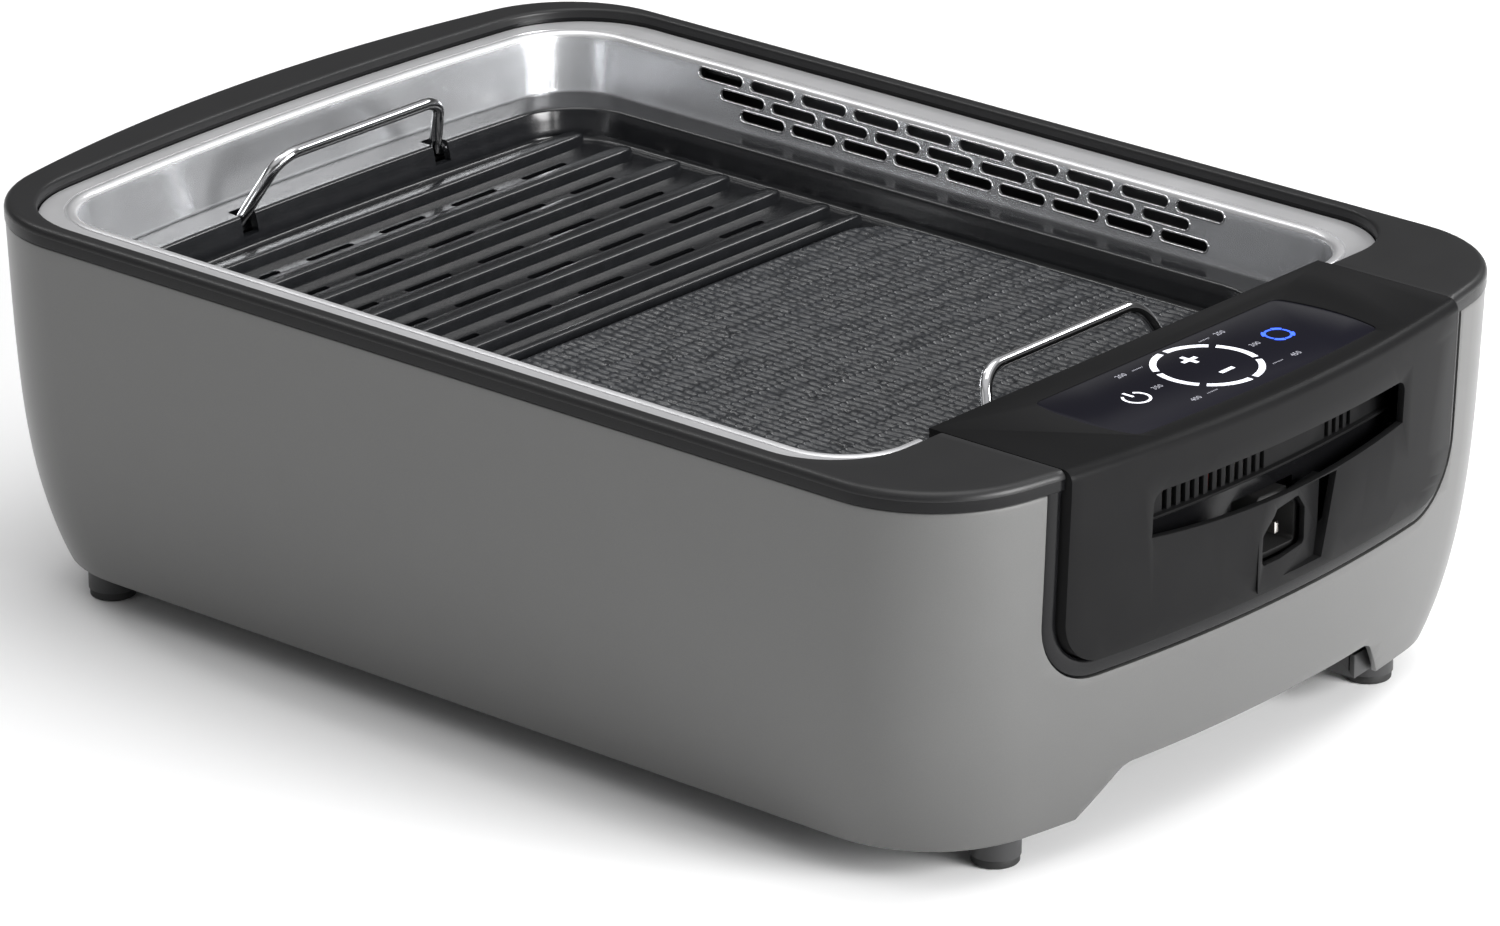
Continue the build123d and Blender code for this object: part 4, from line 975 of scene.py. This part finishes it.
def number(text, x, y):
    cu = bpy.data.curves.new("digits", "FONT")
    cu.body = text
    cu.size = 3.6 * MM
    cu.align_x = "CENTER"
    cu.align_y = "CENTER"
    cu.extrude = 0.04 * MM
    cu.resolution_u = 2
    o = bpy.data.objects.new("digits_src", cu)
    scene.collection.objects.link(o)
    dg = bpy.context.evaluated_depsgraph_get()
    dg.update()
    me = bpy.data.meshes.new_from_object(o.evaluated_get(dg))
    bpy.data.objects.remove(o)
    # reading direction +Y, top of the digits towards -X
    R = Matrix(((0, -1, 0), (1, 0, 0), (0, 0, 1))).to_4x4()
    me.transform(Matrix.Translation((x * MM, y * MM, 161.88 * MM)) @ R)
    ob = bpy.data.objects.new("number_" + text, me)
    scene.collection.objects.link(ob)
    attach(ob, "control_unit")
    return give(ob, "dim")


for t, lx, ly in LABELS:
    number(t, lx, ly + math.copysign(1.2, ly))

louver = give(refined("exhaust_louver", "control_unit", "louver_comb", width=0.25, segments=2, smooth_angle=30), "pod")
# painted shade: the louver's faces below the ledge take the darker plastic, standing in for the black shade of the duct
# behind
louver.data.materials.append(M["bezel"])
for p in louver.data.polygons:
    if p.center.z < 0.1258:
        p.material_index = 1
give(refined("power_inlet", "control_unit", "inlet_body", width=0.25, segments=2), "inlet")
give(refined("bottom_cover", "base", "bottom_pan", width=0.4, segments=2, smooth_angle=30), "base")
give(refined("rubber_feet", "base", "foot_pads", width=0.3, segments=2, smooth_angle=40), "rubber")
give(refined("drip_tray", "drip_tray", "drip_pan", width=0.25, segments=1, smooth_angle=30), "tray")
give(refined("heat_tub", "base", "well_liner", width=0.25, segments=1, smooth_angle=30), "black_metal")

# remaining CAD nodes keep their shape and get a finish
KEEP = {"seal_ring": "seal", "smoke_duct": "duct", "duct_gasket": "seal", "bottom_screws": "zinc", "pod_back": "black_metal",
        "pod_screws": "zinc", "light_guide": "guide", "control_board": "board", "power_board": "board", "inlet_pins": "pin",
        "fan_housing": "grey", "fan_motor": "zinc", "heating_element": "element", "terminal_block": "ceramic",
        "thermostat_probe": "zinc", "element_clip": "zinc", "thermal_fuse": "zinc", "inner_wiring": "wire",
        "motor_shaft": "zinc", "fan_wheel": "grey"}
for node, key in KEEP.items():
    o = nodes[node]
    if not o.material_slots:
        o.data.materials.append(M[key])
    for s in o.material_slots:
        s.material = M[key]

# ------------------------------------------------------------------ floor and light
bm = bmesh.new()
bmesh.ops.create_grid(bm, x_segments=8, y_segments=8, size=6.0)
me = bpy.data.meshes.new("floor")
bm.to_mesh(me)
bm.free()
floor = bpy.data.objects.new("floor", me)
scene.collection.objects.link(floor)
floor.location = (0, 0, -0.0002)
fm = material("floor_white", (0.93, 0.93, 0.93), rough=0.75, var=0.004, var_scale=3, grain=0.0, rough_var=0.02, specular=0.2)
floor.data.materials.append(fm)

world = bpy.data.worlds.new("studio")
scene.world = world
world.use_nodes = True
wt = world.node_tree
bg = wt.nodes["Background"]
bg.inputs["Strength"].default_value = 0.78
wtc = wt.nodes.new("ShaderNodeTexCoord")
wsep = wt.nodes.new("ShaderNodeSeparateXYZ")
wramp = wt.nodes.new("ShaderNodeValToRGB")
wt.links.new(wtc.outputs["Generated"], wsep.inputs["Vector"])
wt.links.new(wsep.outputs["Z"], wramp.inputs["Fac"])
wt.links.new(wramp.outputs["Color"], bg.inputs["Color"])
el = wramp.color_ramp.elements
el[0].position, el[0].color = 0.0, (0.42, 0.42, 0.43, 1)
el[1].position, el[1].color = 1.0, (1.0, 1.0, 1.0, 1)
for p_, v_ in ((0.16, 0.26), (0.30, 0.10), (0.48, 0.14), (0.62, 0.62), (0.80, 1.0)):
    e_ = el.new(p_)
    e_.color = (v_, v_, v_ * 1.01, 1)


def area(name, loc, target, size, power, size_y=None):
    d = bpy.data.lights.new(name, "AREA")
    d.energy = power
    d.size = size
    if size_y:
        d.shape = "RECTANGLE"
        d.size_y = size_y
    o = bpy.data.objects.new(name, d)
    scene.collection.objects.link(o)
    o.location = loc
    v = Vector(target) - Vector(loc)
    o.rotation_euler = v.to_track_quat("-Z", "Y").to_euler()
    return o


area("key_top", (0.15, 0.1, 2.4), (0, 0, 0.1), 1.8, 22, 1.8)
area("side_right", (2.0, 0.30, 0.75), (0.2, 0, 0.08), 1.0, 60, 0.9)
area("front_fill", (-0.7, -2.4, 1.1), (0, 0, 0.05), 1.6, 3, 0.9)
area("strip_back", (0.55, 1.70, 1.50), (0, 0, 0.12), 1.3, 13, 0.26)
area("strip_left", (-1.55, -0.15, 1.95), (0, 0, 0.12), 0.16, 8, 1.3)
area("strip_corner", (2.05, -0.62, 0.55), (0.2, -0.1, 0.08), 0.16, 6, 0.9)

scene.view_settings.view_transform = "Standard"
scene.view_settings.look = "None"
scene.view_settings.exposure = 0.0
